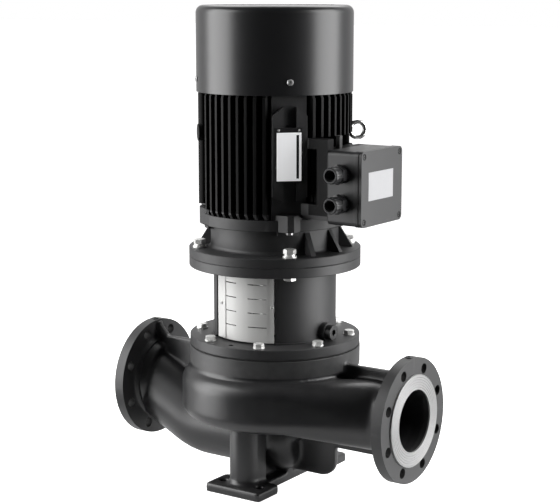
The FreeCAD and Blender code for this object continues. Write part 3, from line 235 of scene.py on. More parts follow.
def cylinder(radius, start, end, steps=32):
    """A cylinder from one point to another."""
    start, end = Vector(start), Vector(end)
    turn = (end - start).to_track_quat("Z", "Y").to_euler()
    bpy.ops.object.select_all(action="DESELECT")
    bpy.ops.mesh.primitive_cylinder_add(vertices=steps, radius=radius, depth=(end - start).length,
                                        location=(start + end) / 2, rotation=turn)
    return settled(bpy.context.view_layer.objects.active)


def box(low, high):
    """A box between two corners."""
    low, high = Vector(low), Vector(high)
    bpy.ops.object.select_all(action="DESELECT")
    bpy.ops.mesh.primitive_cube_add(size=1, location=(low + high) / 2, scale=high - low)
    return settled(bpy.context.view_layer.objects.active)


def towards(angle, radius=1.0, level=0.0):
    """The point, or the direction, at an angle about the shaft."""
    return Vector((radius * math.cos(angle), radius * math.sin(angle), level))


def turned_box(low, high, angle):
    """A box drawn towards +X and then turned about the shaft."""
    piece = box(low, high)
    piece.data.transform(Matrix.Rotation(angle, 4, "Z"))
    return piece


def spun(name, outline, centre=SHAFT, axis=Z, steps=96, start=None, sweep=2 * math.pi):
    """A closed outline of (radius, height) points, spun about an axis, all round or in part."""
    centre, axis = Vector(centre), Vector(axis)
    out = start or axis.orthogonal().normalized()
    points = [centre + out * radius + axis * height for radius, height in outline]
    bpy.ops.object.select_all(action="DESELECT")
    bpy.ops.mesh.primitive_plane_add(size=MM, location=points[0])
    piece = settled(bpy.context.view_layer.objects.active)
    edit(piece)
    bpy.ops.mesh.select_all(action="SELECT")
    bpy.ops.mesh.merge(type="CENTER")
    for here, there in zip(points, points[1:]):
        bpy.ops.mesh.extrude_region_move(TRANSFORM_OT_translate={"value": there - here})
    leave_edit()
    for vertex in (piece.data.vertices[0], piece.data.vertices[-1]):
        vertex.select = True
    bpy.ops.object.mode_set(mode="EDIT")
    bpy.ops.mesh.edge_face_add()
    bpy.ops.mesh.select_all(action="SELECT")
    bpy.ops.mesh.spin(steps=steps, angle=-sweep, center=centre, axis=axis)
    bpy.ops.mesh.select_all(action="SELECT")
    bpy.ops.mesh.remove_doubles(threshold=0.01 * MM)
    if sweep < 2 * math.pi:
        bpy.ops.mesh.fill_holes(sides=0)
    bpy.ops.mesh.normals_make_consistent(inside=False)
    leave_edit()
    return named(piece, name)


def arc(name, inner, outer, low, high, start, end):
    """A piece of a ring about the shaft, between two angles in degrees."""
    outline = [(inner, low), (outer, low), (outer, high), (inner, high)]
    return spun(name, outline, SHAFT, Z, 24, towards(math.radians(start)), math.radians(end - start))


def screw(name, place, out, radius, rise):
    """A round screw head with a socket, standing on a surface."""
    form = [(0, -2 * MM), (radius * 0.5, -2 * MM), (radius * 0.5, 0), (radius, 0), (radius, rise * 0.6),
            (radius * 0.85, rise * 0.92), (radius * 0.65, rise), (radius * 0.45, rise),
            (radius * 0.4, rise * 0.25), (0, rise * 0.25)]
    return smooth(spun(name, form, place, out, 32), 30)


# Shader node groups shared by the finishes.

def new_group(name, inputs, outputs):
    """A node group with its ends. An input without a value is a vector, and all the rest are numbers."""
    group = bpy.data.node_groups.new(name, "ShaderNodeTree")
    for label, value in inputs.items():
        kind = "NodeSocketVector" if value is None else "NodeSocketFloat"
        socket = group.interface.new_socket(name=label, in_out="INPUT", socket_type=kind)
        if value is not None:
            socket.default_value = value
    for label in outputs:
        group.interface.new_socket(name=label, in_out="OUTPUT", socket_type="NodeSocketFloat")
    return group, group.nodes.new("NodeGroupInput"), group.nodes.new("NodeGroupOutput")


def link(tree, source, target):
    tree.links.new(source, target)


def add(tree, kind, **values):
    """A node with properties and input values set by name."""
    node = tree.nodes.new(kind)
    for name, value in values.items():
        if name in node.inputs:
            node.inputs[name].default_value = value
        elif name.replace("_", " ") in node.inputs:
            node.inputs[name.replace("_", " ")].default_value = value
        else:
            setattr(node, name, value)
    return node


def grain_group():
    """Fine lumps over broad ones, as a height and a mask."""
    group, given, made = new_group("grain", {"Place": None, "Fine": 900.0, "Broad": 60.0, "Share": 0.5},
                                   ("Height", "Mask"))
    fine = add(group, "ShaderNodeTexNoise", Detail=3.0, Roughness=0.6)
    broad = add(group, "ShaderNodeTexNoise", Detail=4.0, Roughness=0.55)
    blend = add(group, "ShaderNodeMix", data_type="FLOAT")
    for noise, scale in ((fine, "Fine"), (broad, "Broad")):
        link(group, given.outputs["Place"], noise.inputs["Vector"])
        link(group, given.outputs[scale], noise.inputs["Scale"])
    link(group, given.outputs["Share"], blend.inputs["Factor"])
    link(group, fine.outputs["Fac"], blend.inputs["A"])
    link(group, broad.outputs["Fac"], blend.inputs["B"])
    link(group, blend.outputs["Result"], made.inputs["Height"])
    link(group, broad.outputs["Fac"], made.inputs["Mask"])
    return group


def wear_group():
    """Rubbed edges: a mask that rises where the surface is sharp and patchy."""
    inputs = {"Sharpness": 0.5, "Patches": 0.5, "Start": 0.53, "End": 0.62}
    group, given, made = new_group("edge wear", inputs, ("Mask",))
    ramp = add(group, "ShaderNodeMapRange", interpolation_type="SMOOTHSTEP")
    spread = add(group, "ShaderNodeMath", operation="MULTIPLY")
    link(group, given.outputs["Sharpness"], ramp.inputs["Value"])
    link(group, given.outputs["Start"], ramp.inputs["From Min"])
    link(group, given.outputs["End"], ramp.inputs["From Max"])
    link(group, ramp.outputs["Result"], spread.inputs[0])
    link(group, given.outputs["Patches"], spread.inputs[1])
    link(group, spread.outputs["Value"], made.inputs["Mask"])
    return group


def dust_group():
    """Fine dust that lies on faces that look up, in patches."""
    group, given, made = new_group("dust", {"Normal": None, "Patches": 0.5, "Amount": 0.2}, ("Mask",))
    parts = add(group, "ShaderNodeSeparateXYZ")
    ramp = add(group, "ShaderNodeMapRange")
    ramp.inputs["From Min"].default_value = 0.35
    both = add(group, "ShaderNodeMath", operation="MULTIPLY")
    scaled = add(group, "ShaderNodeMath", operation="MULTIPLY")
    link(group, given.outputs["Normal"], parts.inputs["Vector"])
    link(group, parts.outputs["Z"], ramp.inputs["Value"])
    link(group, ramp.outputs["Result"], both.inputs[0])
    link(group, given.outputs["Patches"], both.inputs[1])
    link(group, both.outputs["Value"], scaled.inputs[0])
    link(group, given.outputs["Amount"], scaled.inputs[1])
    link(group, scaled.outputs["Value"], made.inputs["Mask"])
    return group


def depth_group():
    """Shade between the fins: 0 at their roots, low at their tips, and 1 on the pads and past their ends."""
    inputs = {"Place": None, "Root": 0.12, "Tip": 0.13, "Low": 0.0, "High": 1.0}
    group, given, made = new_group("fin depth", inputs, ("Mask",))
    tip_shade, half_pad = 0.25, 31 * MM
    parts = add(group, "ShaderNodeSeparateXYZ")
    flat = add(group, "ShaderNodeCombineXYZ")
    reach = add(group, "ShaderNodeVectorMath", operation="LENGTH")
    ramp = add(group, "ShaderNodeMapRange", interpolation_type="SMOOTHSTEP")
    ramp.inputs["To Max"].default_value = tip_shade
    above = add(group, "ShaderNodeMath", operation="GREATER_THAN")
    below = add(group, "ShaderNodeMath", operation="LESS_THAN")
    inside = add(group, "ShaderNodeMath", operation="MULTIPLY")
    sideways = add(group, "ShaderNodeVectorMath", operation="DOT_PRODUCT")
    sideways.inputs[1].default_value = (-math.sin(FRONT), math.cos(FRONT), 0)
    spread = add(group, "ShaderNodeMath", operation="ABSOLUTE")
    beside = add(group, "ShaderNodeMath", operation="GREATER_THAN")
    beside.inputs[1].default_value = half_pad
    between = add(group, "ShaderNodeMath", operation="MULTIPLY")
    mask = add(group, "ShaderNodeMix", data_type="FLOAT", A=1.0)
    link(group, given.outputs["Place"], parts.inputs["Vector"])
    for axis in ("X", "Y"):
        link(group, parts.outputs[axis], flat.inputs[axis])
    link(group, flat.outputs["Vector"], reach.inputs[0])
    link(group, reach.outputs["Value"], ramp.inputs["Value"])
    link(group, given.outputs["Root"], ramp.inputs["From Min"])
    link(group, given.outputs["Tip"], ramp.inputs["From Max"])
    for test, limit in ((above, "Low"), (below, "High")):
        link(group, parts.outputs["Z"], test.inputs[0])
        link(group, given.outputs[limit], test.inputs[1])
    link(group, above.outputs["Value"], inside.inputs[0])
    link(group, below.outputs["Value"], inside.inputs[1])
    link(group, flat.outputs["Vector"], sideways.inputs[0])
    link(group, sideways.outputs["Value"], spread.inputs[0])
    link(group, spread.outputs["Value"], beside.inputs[0])
    link(group, inside.outputs["Value"], between.inputs[0])
    link(group, beside.outputs["Value"], between.inputs[1])
    link(group, between.outputs["Value"], mask.inputs["Factor"])
    link(group, ramp.outputs["Result"], mask.inputs["B"])
    link(group, mask.outputs["Result"], made.inputs["Mask"])
    return group


GRAIN, WEAR, DUST, DEPTH = grain_group(), wear_group(), dust_group(), depth_group()
GRAIN_RANGE = (0.3, 0.7)
DUST_COLOUR = (0.3, 0.29, 0.28)
DEEP_BLACK = (0.0005, 0.0005, 0.0005)
FULL_SHEEN = 0.5


def laid_over(tree, base, value, mask):
    """Lays a colour over a base where a mask is white."""
    blend = add(tree, "ShaderNodeMix", data_type="RGBA")
    blend.inputs["B"].default_value = (*value, 1)
    link(tree, mask, blend.inputs["Factor"])
    link(tree, base, blend.inputs["A"])
    return blend.outputs["Result"]


def finish(name, colour, tone, rough=(0.3, 0.4), metallic=0.0, fine=900.0, broad=60.0, share=0.5, depth=0.05,
           worn=0.0, dust=0.0, glow=0.0, stretch=(1, 1, 1), fins=None):
    """A material whose colour and roughness vary with a grain that also lifts the surface.

    Rubbed edges, dust and the shade between the fins are laid over it where they are asked for.
    """
    material = bpy.data.materials.new(name)
    material.use_nodes = True
    tree = material.node_tree
    shader = tree.nodes["Principled BSDF"]
    shader.inputs["Metallic"].default_value = metallic
    shader.inputs["Emission Color"].default_value = (1, 1, 1, 1)
    shader.inputs["Emission Strength"].default_value = glow
    where = add(tree, "ShaderNodeTexCoord")
    turn = add(tree, "ShaderNodeMapping")
    turn.inputs["Scale"].default_value = stretch
    grain = add(tree, "ShaderNodeGroup", node_tree=GRAIN)
    for label, value in (("Fine", fine), ("Broad", broad), ("Share", share)):
        grain.inputs[label].default_value = value
    shape = add(tree, "ShaderNodeNewGeometry")
    link(tree, where.outputs["Object"], turn.inputs["Vector"])
    link(tree, turn.outputs["Vector"], grain.inputs["Place"])
    paint = add(tree, "ShaderNodeMix", data_type="RGBA")
    paint.inputs["A"].default_value = (*colour, 1)
    paint.inputs["B"].default_value = (*tone, 1)
    link(tree, grain.outputs["Mask"], paint.inputs["Factor"])
    base = paint.outputs["Result"]
    if worn:
        wear = add(tree, "ShaderNodeGroup", node_tree=WEAR)
        link(tree, shape.outputs["Pointiness"], wear.inputs["Sharpness"])
        link(tree, grain.outputs["Mask"], wear.inputs["Patches"])
        base = laid_over(tree, base, (worn, worn, worn), wear.outputs["Mask"])
    if dust:
        layer = add(tree, "ShaderNodeGroup", node_tree=DUST)
        layer.inputs["Amount"].default_value = dust
        link(tree, shape.outputs["Normal"], layer.inputs["Normal"])
        link(tree, grain.outputs["Height"], layer.inputs["Patches"])
        base = laid_over(tree, base, DUST_COLOUR, layer.outputs["Mask"])
    if fins:
        depth_mask = add(tree, "ShaderNodeGroup", node_tree=DEPTH)
        for label, value in zip(("Root", "Tip", "Low", "High"), fins):
            depth_mask.inputs[label].default_value = value
        shaded = add(tree, "ShaderNodeMix", data_type="RGBA")
        shaded.inputs["A"].default_value = (*DEEP_BLACK, 1)
        sheen = add(tree, "ShaderNodeMath", operation="MULTIPLY")
        sheen.inputs[1].default_value = FULL_SHEEN
        link(tree, where.outputs["Object"], depth_mask.inputs["Place"])
        link(tree, depth_mask.outputs["Mask"], shaded.inputs["Factor"])
        link(tree, depth_mask.outputs["Mask"], sheen.inputs[0])
        link(tree, base, shaded.inputs["B"])
        link(tree, sheen.outputs["Value"], shader.inputs["Specular IOR Level"])
        base = shaded.outputs["Result"]
    link(tree, base, shader.inputs["Base Color"])
    gloss = add(tree, "ShaderNodeMapRange")
    for end, height, value in zip(("Min", "Max"), GRAIN_RANGE, rough):
        gloss.inputs["From " + end].default_value = height
        gloss.inputs["To " + end].default_value = value
    link(tree, grain.outputs["Height"], gloss.inputs["Value"])
    link(tree, gloss.outputs["Result"], shader.inputs["Roughness"])
    if depth:
        bump = add(tree, "ShaderNodeBump", Strength=1.0, Distance=depth * MM)
        link(tree, grain.outputs["Height"], bump.inputs["Height"])
        link(tree, bump.outputs["Normal"], shader.inputs["Normal"])
    return material


BLACK_GREY = (0.012, 0.012, 0.013), (0.018, 0.018, 0.019), (0.5, 0.62)
BLACK_SOFT = (0.012, 0.012, 0.012), (0.02, 0.02, 0.02)
FIN_ROOT, FIN_TIP = 124 * MM, 133.5 * MM
FIN_ZONE = (FIN_ROOT, FIN_TIP, FRAME_BOTTOM + 29 * MM, COVER_BOTTOM)

CAST = finish("cast_paint", (0.008, 0.008, 0.009), (0.015, 0.015, 0.016), (0.31, 0.43),
              fine=500, broad=45, share=0.45, depth=0.16, worn=0.05, dust=0.05)
MACHINED_PAINT = finish("machined_paint", (0.015, 0.015, 0.016), (0.022, 0.022, 0.023), (0.46, 0.56),
                        fine=1200, broad=70, share=0.3, depth=0.03, worn=0.06, dust=0.05)
FIN_PAINT = finish("fin_paint", *BLACK_GREY,
                   fine=900, broad=60, share=0.4, depth=0.05, worn=0.06, fins=FIN_ZONE)
COVER_PAINT = finish("cover_paint", (0.008, 0.008, 0.009), (0.011, 0.011, 0.012), (0.3, 0.35),
                     fine=1600, broad=30, share=0.3, depth=0.012, worn=0.04)
FRAME_PAINT = finish("frame_paint", *BLACK_GREY, fine=900, broad=60, share=0.4, depth=0.05, worn=0.06)
BOX_PAINT = finish("box_paint", (0.013, 0.013, 0.014), (0.017, 0.017, 0.018), (0.38, 0.45),
                   fine=1500, broad=50, share=0.3, depth=0.03, worn=0.05)
ZINC = finish("zinc_plate", (0.80, 0.80, 0.78), (0.70, 0.70, 0.69), (0.32, 0.46), 0.6,
              fine=1500, broad=200, share=0.5, depth=0.02)
STAINLESS = finish("brushed_stainless", (0.55, 0.55, 0.54), (0.50, 0.50, 0.49), (0.54, 0.60), 0.15,
                   fine=900, broad=60, share=0.3, depth=0.004, stretch=(1, 1, 0.06))
STEEL = finish("turned_steel", (0.50, 0.50, 0.50), (0.44, 0.44, 0.44), (0.34, 0.42), 0.8,
               fine=1200, broad=120, share=0.4, depth=0.01)
FACED = finish("faced_iron", (0.30, 0.30, 0.30), (0.26, 0.26, 0.26), (0.45, 0.55), 0.25,
               fine=1200, broad=120, share=0.4, depth=0.01)
FORGED = finish("galvanised_steel", (0.78, 0.78, 0.77), (0.70, 0.70, 0.69), (0.18, 0.28), 1.0,
                fine=900, broad=150, share=0.4, depth=0.01)
BLACK_PLASTIC = finish("black_nylon", (0.012, 0.012, 0.013), (0.016, 0.016, 0.017), (0.34, 0.42),
                       fine=2200, broad=120, share=0.3, depth=0.02)
RUBBER = finish("black_rubber", *BLACK_SOFT, (0.6, 0.75), fine=1500, broad=150, share=0.5, depth=0.03)
FIBRE = finish("fibre_sheet", *BLACK_SOFT, (0.75, 0.9), fine=1800, broad=200, share=0.5, depth=0.04)
# The plate's glow is painted light that keeps it white on the front, which the lights leave dark.
PLATE = finish("plate_white", (0.70, 0.71, 0.73), (0.64, 0.65, 0.67), (0.4, 0.5),
               fine=1600, broad=80, share=0.3, depth=0.006, glow=0.42)
LABEL = finish("label_white", (0.38, 0.38, 0.39), (0.35, 0.35, 0.36), (0.5, 0.6),
               fine=1600, broad=80, share=0.3, depth=0.006)
PLATE_EDGE = finish("plate_frame", (0.01, 0.01, 0.011), (0.015, 0.015, 0.016), (0.3, 0.36),
                    fine=1500, broad=90, share=0.3, depth=0.01)
BRONZE = finish("bronze", (0.5, 0.33, 0.16), (0.42, 0.27, 0.12), (0.3, 0.45), 1.0,
                fine=900, broad=90, depth=0.04)
COPPER = finish("copper_winding", (0.5, 0.2, 0.08), (0.36, 0.13, 0.05), (0.3, 0.45), 0.6,
                fine=700, broad=500, share=0.6, depth=0.2, stretch=(1, 1, 0.3))
IRON = finish("laminated_iron", (0.32, 0.31, 0.3), (0.22, 0.22, 0.22), (0.4, 0.55), 0.9,
              fine=300, broad=2000, share=0.7, depth=0.03, stretch=(0.05, 0.05, 1))
CARBON = finish("carbon", (0.03, 0.03, 0.03), (0.05, 0.05, 0.05), (0.3, 0.4),
                fine=1500, broad=100, depth=0.01)
CERAMIC = finish("ceramic", (0.72, 0.7, 0.64), (0.66, 0.64, 0.58), (0.2, 0.28),
                 fine=1500, broad=100, depth=0.005)
# Near black, for painted shade: inside the bolt holes, in two joint gaps and round the box cover's screws.
SHADE_BLACK = finish("dark_hole", (0.002, 0.002, 0.002), (0.003, 0.003, 0.003), (0.8, 0.9),
              fine=900, broad=80, depth=0.02)


def done(piece, material, slot, *nodes, body="pump"):
    """Dresses a finished piece, puts it on its body and hides the model's nodes that it stands for."""
    piece.data.materials.clear()
    piece.data.materials.append(material)
    for face in piece.data.polygons:
        face.material_index = 0
    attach(piece, body)
    if nodes:
        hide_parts(*nodes)


def softened(node, material, slot, width):
    """Stands for a node, with its sharp edges broken by a width in millimetres."""
    piece = copy_of(node, node + "_dressed")
    bevelled(piece, width * MM)
    smooth(piece)
    done(piece, material, slot, node, body=frame["nodes"][node]["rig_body"])


# Wet end: the cast casing with its flanges.

def casting():
    """The casing as one casting, its forms run into each other with soft blends."""
    piece = copy_of("pump_casing", "cast_casing")
    blend = 2.7 * MM
    hub, back, front = HUB_RADIUS - 0.3 * MM, FLANGE_BACK - 0.1 * MM, FLANGE_FACE - 5 * MM
    far = FLANGE_FACE + PORT_BORE
    outline = [(hub, back), (2 * PORT_RIM, back), (2 * PORT_RIM, far), (0, far), (0, front), (hub, front)]
    for side in (-1, 1):
        minus(piece, spun("flange_tool", outline, (0, 0, PORT_LEVEL), side * X, 64))
    applied(piece, "REMESH", mode="VOXEL", voxel_size=blend, adaptivity=0.0)
    applied(piece, "SMOOTH", factor=0.5, iterations=6)
    only(piece)
    bpy.ops.object.shade_smooth()
    done(piece, CAST, "cast_black", "pump_casing")


def port_flange(side, name):
    """A drilled flange with a cast fillet into its hub."""
    throat, root = PORT_BORE + 0.2 * MM, FLANGE_BACK - 8 * MM
    fillet = [(HUB_RADIUS - 0.6 * MM, root), (HUB_RADIUS + 0.4 * MM, FLANGE_BACK - 4 * MM),
              (HUB_RADIUS + 2.2 * MM, FLANGE_BACK - 1.6 * MM), (HUB_RADIUS + 6 * MM, FLANGE_BACK)]
    outline = fillet + [(PORT_RIM, FLANGE_BACK), (PORT_RIM, FLANGE_FACE), (throat, FLANGE_FACE),
                        (throat, root)]
    centre = Vector((0, 0, PORT_LEVEL))
    piece = spun(name, outline, centre, side * X, 128)
    for angle in EIGHT:
        across = Vector((0, PORT_CIRCLE * math.cos(angle), PORT_CIRCLE * math.sin(angle)))
        start = centre + across + side * X * (FLANGE_BACK - 20 * MM)
        minus(piece, cylinder(PORT_HOLE, start, start + side * X * 50 * MM, 40))
    bevelled(piece, 1.0 * MM, 3, 40)
    smooth(piece, 30)
    done(piece, MACHINED_PAINT, "cast_black", "pump_casing")


def hole_walls():
    """The drilled walls of the bolt holes in both port flanges, near black: painted shade inside the holes.
    """
    inner, outer = PORT_HOLE - 0.25 * MM, PORT_HOLE + 0.05 * MM
    back, front = FLANGE_BACK + 0.6 * MM, FLANGE_FACE - 0.6 * MM
    outline = [(inner, back), (outer, back), (outer, front), (inner, front)]
    places = [(0, PORT_CIRCLE * math.cos(angle), PORT_LEVEL + PORT_CIRCLE * math.sin(angle))
              for angle in EIGHT]
    walls = [spun("wall", outline, place, side * X, 40) for side in (-1, 1) for place in places]
    done(smooth(joined("bolt_hole_walls", *walls)), SHADE_BLACK, "cast_black")


def port_face(side, name):
    """The raised sealing face, turned with concentric grooves."""
    grooves, radius, pitch = [], PORT_BORE + 2 * MM, 4.2 * MM
    groove_floor, back, inner = RAISED_FACE - 0.5 * MM, FLANGE_FACE - 2 * MM, PORT_BORE + 0.3 * MM
    while radius < RAISED_RADIUS - 2 * MM:
        grooves += [(radius, RAISED_FACE), (radius + 1.4 * MM, groove_floor),
                    (radius + 2.4 * MM, RAISED_FACE)]
        radius += pitch
    outline = [(inner, back), (inner, RAISED_FACE)] + grooves
    outline += [(RAISED_RADIUS - 0.5 * MM, RAISED_FACE), (RAISED_RADIUS, groove_floor), (RAISED_RADIUS, back)]
    piece = smooth(spun(name, outline, (0, 0, PORT_LEVEL), side * X, 128), 12)
    done(piece, FACED, "steel", "pump_casing")


def gauge_plugs():
    """A plug in the gauge hole at the top of each port flange."""
    plugs, radius, socket = [], 6.3 * MM, 3 * MM
    seat = PORT_LEVEL + PORT_RIM
    for across in (10 * MM - FLANGE_FACE, FLANGE_FACE - 10 * MM):
        plug = cylinder(radius, (across, 0, seat - 12 * MM), (across, 0, seat + 2 * MM), 32)
        minus(plug, cylinder(socket, (across, 0, seat - 2 * MM), (across, 0, seat + 3 * MM), 6))
        plugs.append(smooth(bevelled(plug, 0.5 * MM), 30))
    done(joined("gauge_plugs", *plugs), BLACK_PLASTIC, "brass")


def neck_ring():
    """The turned neck that carries the head flange."""
    radius, edge = NECK_RADIUS + PROUD, 1.2 * MM
    inner, low = radius - 12 * MM, NECK_TOP - 30 * MM
    outline = [(inner, low), (radius, low), (radius, NECK_TOP - edge), (radius - edge, NECK_TOP),
               (inner, NECK_TOP)]
    piece = smooth(spun("casing_neck", outline, SHAFT, Z, 160), 30)
    done(piece, MACHINED_PAINT, "cast_black", "pump_casing")


casting()
for side, end in ((1, "discharge"), (-1, "suction")):
    port_flange(side, end + "_flange")
    port_face(side, end + "_face")
neck_ring()
gauge_plugs()
hole_walls()


# Fasteners.

def hex_head(name, flats, rise, seat, hollow=0.0):
    """A hexagon with rounded-off corners, standing on its seat at the shaft's axis."""
    corner = flats / 2 / math.cos(math.radians(30))
    drop, crown = 0.64 * (corner - flats / 2), flats / 2 * 0.94
    head = cylinder(corner, (0, 0, seat), (0, 0, seat + rise), 6)
    form = [(0, seat - MM), (corner, seat - MM), (corner, seat + rise - drop), (crown, seat + rise),
            (0, seat + rise)]
    tool = spun("head_form", form, SHAFT, Z, 48)
    applied(head, "BOOLEAN", operation="INTERSECT", object=tool, solver="EXACT")
    bpy.data.objects.remove(tool)
    if hollow:
        minus(head, cylinder(hollow, (0, 0, seat - MM), (0, 0, seat + 2 * rise), 32))
    bevelled(head, 0.25 * MM, 2, 20)
    return named(smooth(head, 25), name)


def washer(seat, inner, outer, thick):
    """A washer about the shaft's axis."""
    outline = [(inner, seat), (outer, seat), (outer, seat + thick), (inner, seat + thick)]
    return smooth(bevelled(spun("washer", outline, SHAFT, Z, 40), 0.3 * MM, 2), 25)


def bolt(length, *rings, flats, rise, thread):
    """A bolt on its washers, given as (radius, thickness), with the lowest seat at the origin."""
    seat, pieces = 0, []
    for radius, thick in rings:
        pieces.append(washer(seat, thread / 2 + 0.3 * MM, radius, thick))
        seat += thick
    shank = cylinder(thread / 2, (0, 0, seat), (0, 0, -length), 24)
    return joined("bolt", hex_head("bolt", flats, rise, seat), smooth(shank, 30), *pieces)


def set_around(pattern, radius, level, angles, label):
    """One copy of a fastener at each angle, each turned a little differently, in place of the pattern."""
    for number, angle in enumerate(angles, 1):
        spot = Matrix.Translation(towards(angle, radius, level))
        turn = Matrix.Rotation(math.radians(17 * number), 4, "Z")
        node = "%s_%d" % (label, number)
        done(again(pattern, node + "_dressed", spot @ turn), ZINC, "zinc", node)
    bpy.data.objects.remove(pattern)


set_around(bolt(TEN_LENGTH, TEN_WASHER, **TEN), HEAD_CIRCLE, HEAD_TOP, EIGHT, "head_bolt")
set_around(bolt(TWELVE_LENGTH, TWELVE_WASHER, LOCK_WASHER, **TWELVE), HEAD_CIRCLE, FLANGE_TOP, DIAGONALS,
           "flange_bolt")


def flange_nuts():
    """The four nuts under the stool's upper flange, as one piece."""
    pattern = hex_head("nut", TWELVE["flats"], NUT_RISE, 0, TWELVE["thread"] / 2)
    nuts = []
    for angle in DIAGONALS:
        spot = Matrix.Translation(towards(angle, HEAD_CIRCLE, top("flange_nuts")))
        turn = Matrix.Rotation(math.pi, 4, "X") @ Matrix.Rotation(angle, 4, "Z")
        nuts.append(again(pattern, "nut", spot @ turn))
    bpy.data.objects.remove(pattern)
    done(joined("flange_nuts_dressed", *nuts), ZINC, "zinc", "flange_nuts")


flange_nuts()

# Stool, guards and vent.
softened("motor_stool", MACHINED_PAINT, "cast_black", 0.8)


def guard_sheet():
    """The front guard: the model's slit sheet between two folded strips, all placed by angles in degrees."""
    low, high = bottom("coupling_guard_front"), top("coupling_guard_front")
    outer = -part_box("coupling_guard_front")[0].y
    strips, screws = ((-118.5, -106), (-60.6, -56.5)), (-112, -58.5)
    near, far, wide = 40 * MM, 130 * MM, 60 * MM
    sheet = copy_of("coupling_guard_front", "guard")
    for angle, right, left in ((strips[0][0], -wide, 0), (strips[1][1], 0, wide)):
        minus(sheet, turned_box((near, right, low - MM), (far, left, high + MM), math.radians(angle)))
    pieces = [smooth(sheet, 30)]
    for start, end in strips:
        strip = arc("strip", outer - 1.2 * MM, outer + 0.8 * MM, low + MM, high - MM, start, end)
        pieces.append(smooth(bevelled(strip, 0.4 * MM), 30))
    for angle in map(math.radians, screws):
        place = towards(angle, outer + 0.8 * MM, (low + high) / 2 + 2 * MM)
        pieces.append(screw("guard_screw", place, towards(angle), 3.2 * MM, 1.6 * MM))
    return joined("guard_front", *pieces)


guard = guard_sheet()
rear = again(guard, "guard_rear", Matrix.Rotation(math.pi, 4, "Z"))
done(guard, STAINLESS, "stainless", "coupling_guard_front")
done(rear, STAINLESS, "stainless", "coupling_guard_rear")
softened("vent_plug", BLACK_PLASTIC, "brass", 0.8)


# Motor.

def planed(piece, low, high, angles, reach):
    """Takes what stands out at these angles down to three shallow facets."""
    deep, half_width, step, tilt = 30 * MM, 40 * MM, 6 * MM, math.radians(14)
    for angle in angles:
        for side in (-1, 0, 1):
            slab = box((0, -half_width, low), (deep, half_width, high))
            facet = Matrix.Translation((reach, side * step, 0)) @ Matrix.Rotation(side * tilt, 4, "Z")
            slab.data.transform(Matrix.Rotation(angle, 4, "Z") @ facet)
            minus(piece, slab)


def drive_shield():
    """The flanged shield with the fillet of its flange, and a screw under the front and the rear ear."""
    piece = copy_of("shield_drive_end", "drive_shield")
    planed(piece, FRAME_BOTTOM - 9 * MM, FRAME_BOTTOM + MM, DIAGONALS, LUG_REACH)
    bevelled(piece, 0.8 * MM)
    radius = 6 * MM
    rim, inner, crest = SHIELD_WALL + radius, SHIELD_WALL - 2 * MM, FLANGE_TOP + radius
    turns = [math.radians(15 * step) for step in range(7)]
    outline = [(rim - radius * math.sin(turn), crest - radius * math.cos(turn)) for turn in turns]
    outline += [(inner, crest), (inner, FLANGE_TOP - MM), (rim, FLANGE_TOP - MM)]
    done(smooth(spun("shield_fillet", outline, SHAFT, Z, 128), 40), FRAME_PAINT, "cast_black")
    done(smooth(piece), FRAME_PAINT, "cast_black", "shield_drive_end")
    rise, reach = 4.5 * MM, 131 * MM
    pattern = hex_head("ear_screw", 10 * MM, rise, 0)
    heads = [again(pattern, "ear_screw", Matrix.Translation(towards(angle, reach, FRAME_BOTTOM - rise)))
             for angle in DIAGONALS[1::2]]
    bpy.data.objects.remove(pattern)
    done(joined("ear_screws", *heads), STEEL, "steel")


def joint_lines():
    """Near-black rings: painted shade of the gap under the frame's ring where it stands on its shield, and
    the edge of the stool's gasket with painted shade in its gap.
    """
    places = ((130.15 * MM, FRAME_BOTTOM, FRAME_BOTTOM + 0.9 * MM),
              (149.7 * MM, NECK_TOP + 0.1 * MM, NECK_TOP + 1.9 * MM))
    rings = [spun("joint", [(rim - MM, low), (rim, low), (rim, high), (rim - MM, high)], SHAFT, Z, 160)
             for rim, low, high in places]
    done(joined("joint_lines", *rings), SHADE_BLACK, "cast_black")


drive_shield()
joint_lines()
softened("shield_fan_end", FRAME_PAINT, "frame_black", 0.5)


def stator_frame():
    """The finned frame, with its side ears cut back, and the pedestal's top behind its front lug."""
    piece = copy_of("stator_frame", "finned_frame")
    planed(piece, FRAME_BOTTOM - MM, FRAME_BOTTOM + EAR_RISE, DIAGONALS[::2], SIDE_EAR_REACH)
    foot, pedestal_top, post_top = BOX_HIGH.z - 2 * MM, BOX_HIGH.z + 17 * MM, BOX_HIGH.z + 20 * MM
    wall, beyond, right, left = 113 * MM, 170 * MM, -56 * MM, 90 * MM
    minus(piece, box((wall, right, foot), (beyond, left, pedestal_top)))
    bevelled(piece, 0.6 * MM)
    done(smooth(piece), FIN_PAINT, "frame_black", "stator_frame")
    post = box((146 * MM, -36 * MM, foot), (154.5 * MM, -27 * MM, post_top))
    done(named(smooth(bevelled(post, 1.2 * MM)), "pedestal_post"), FRAME_PAINT, "frame_black")
    inset = 9 * MM
    seam = box((154.4 * MM, BOX_LOW.y + 0.7 * MM, BOX_LOW.z + inset), (155.7 * MM, 0, BOX_HIGH.z - inset))
    done(named(seam, "pedestal_seam"), RUBBER, "frame_black")


stator_frame()


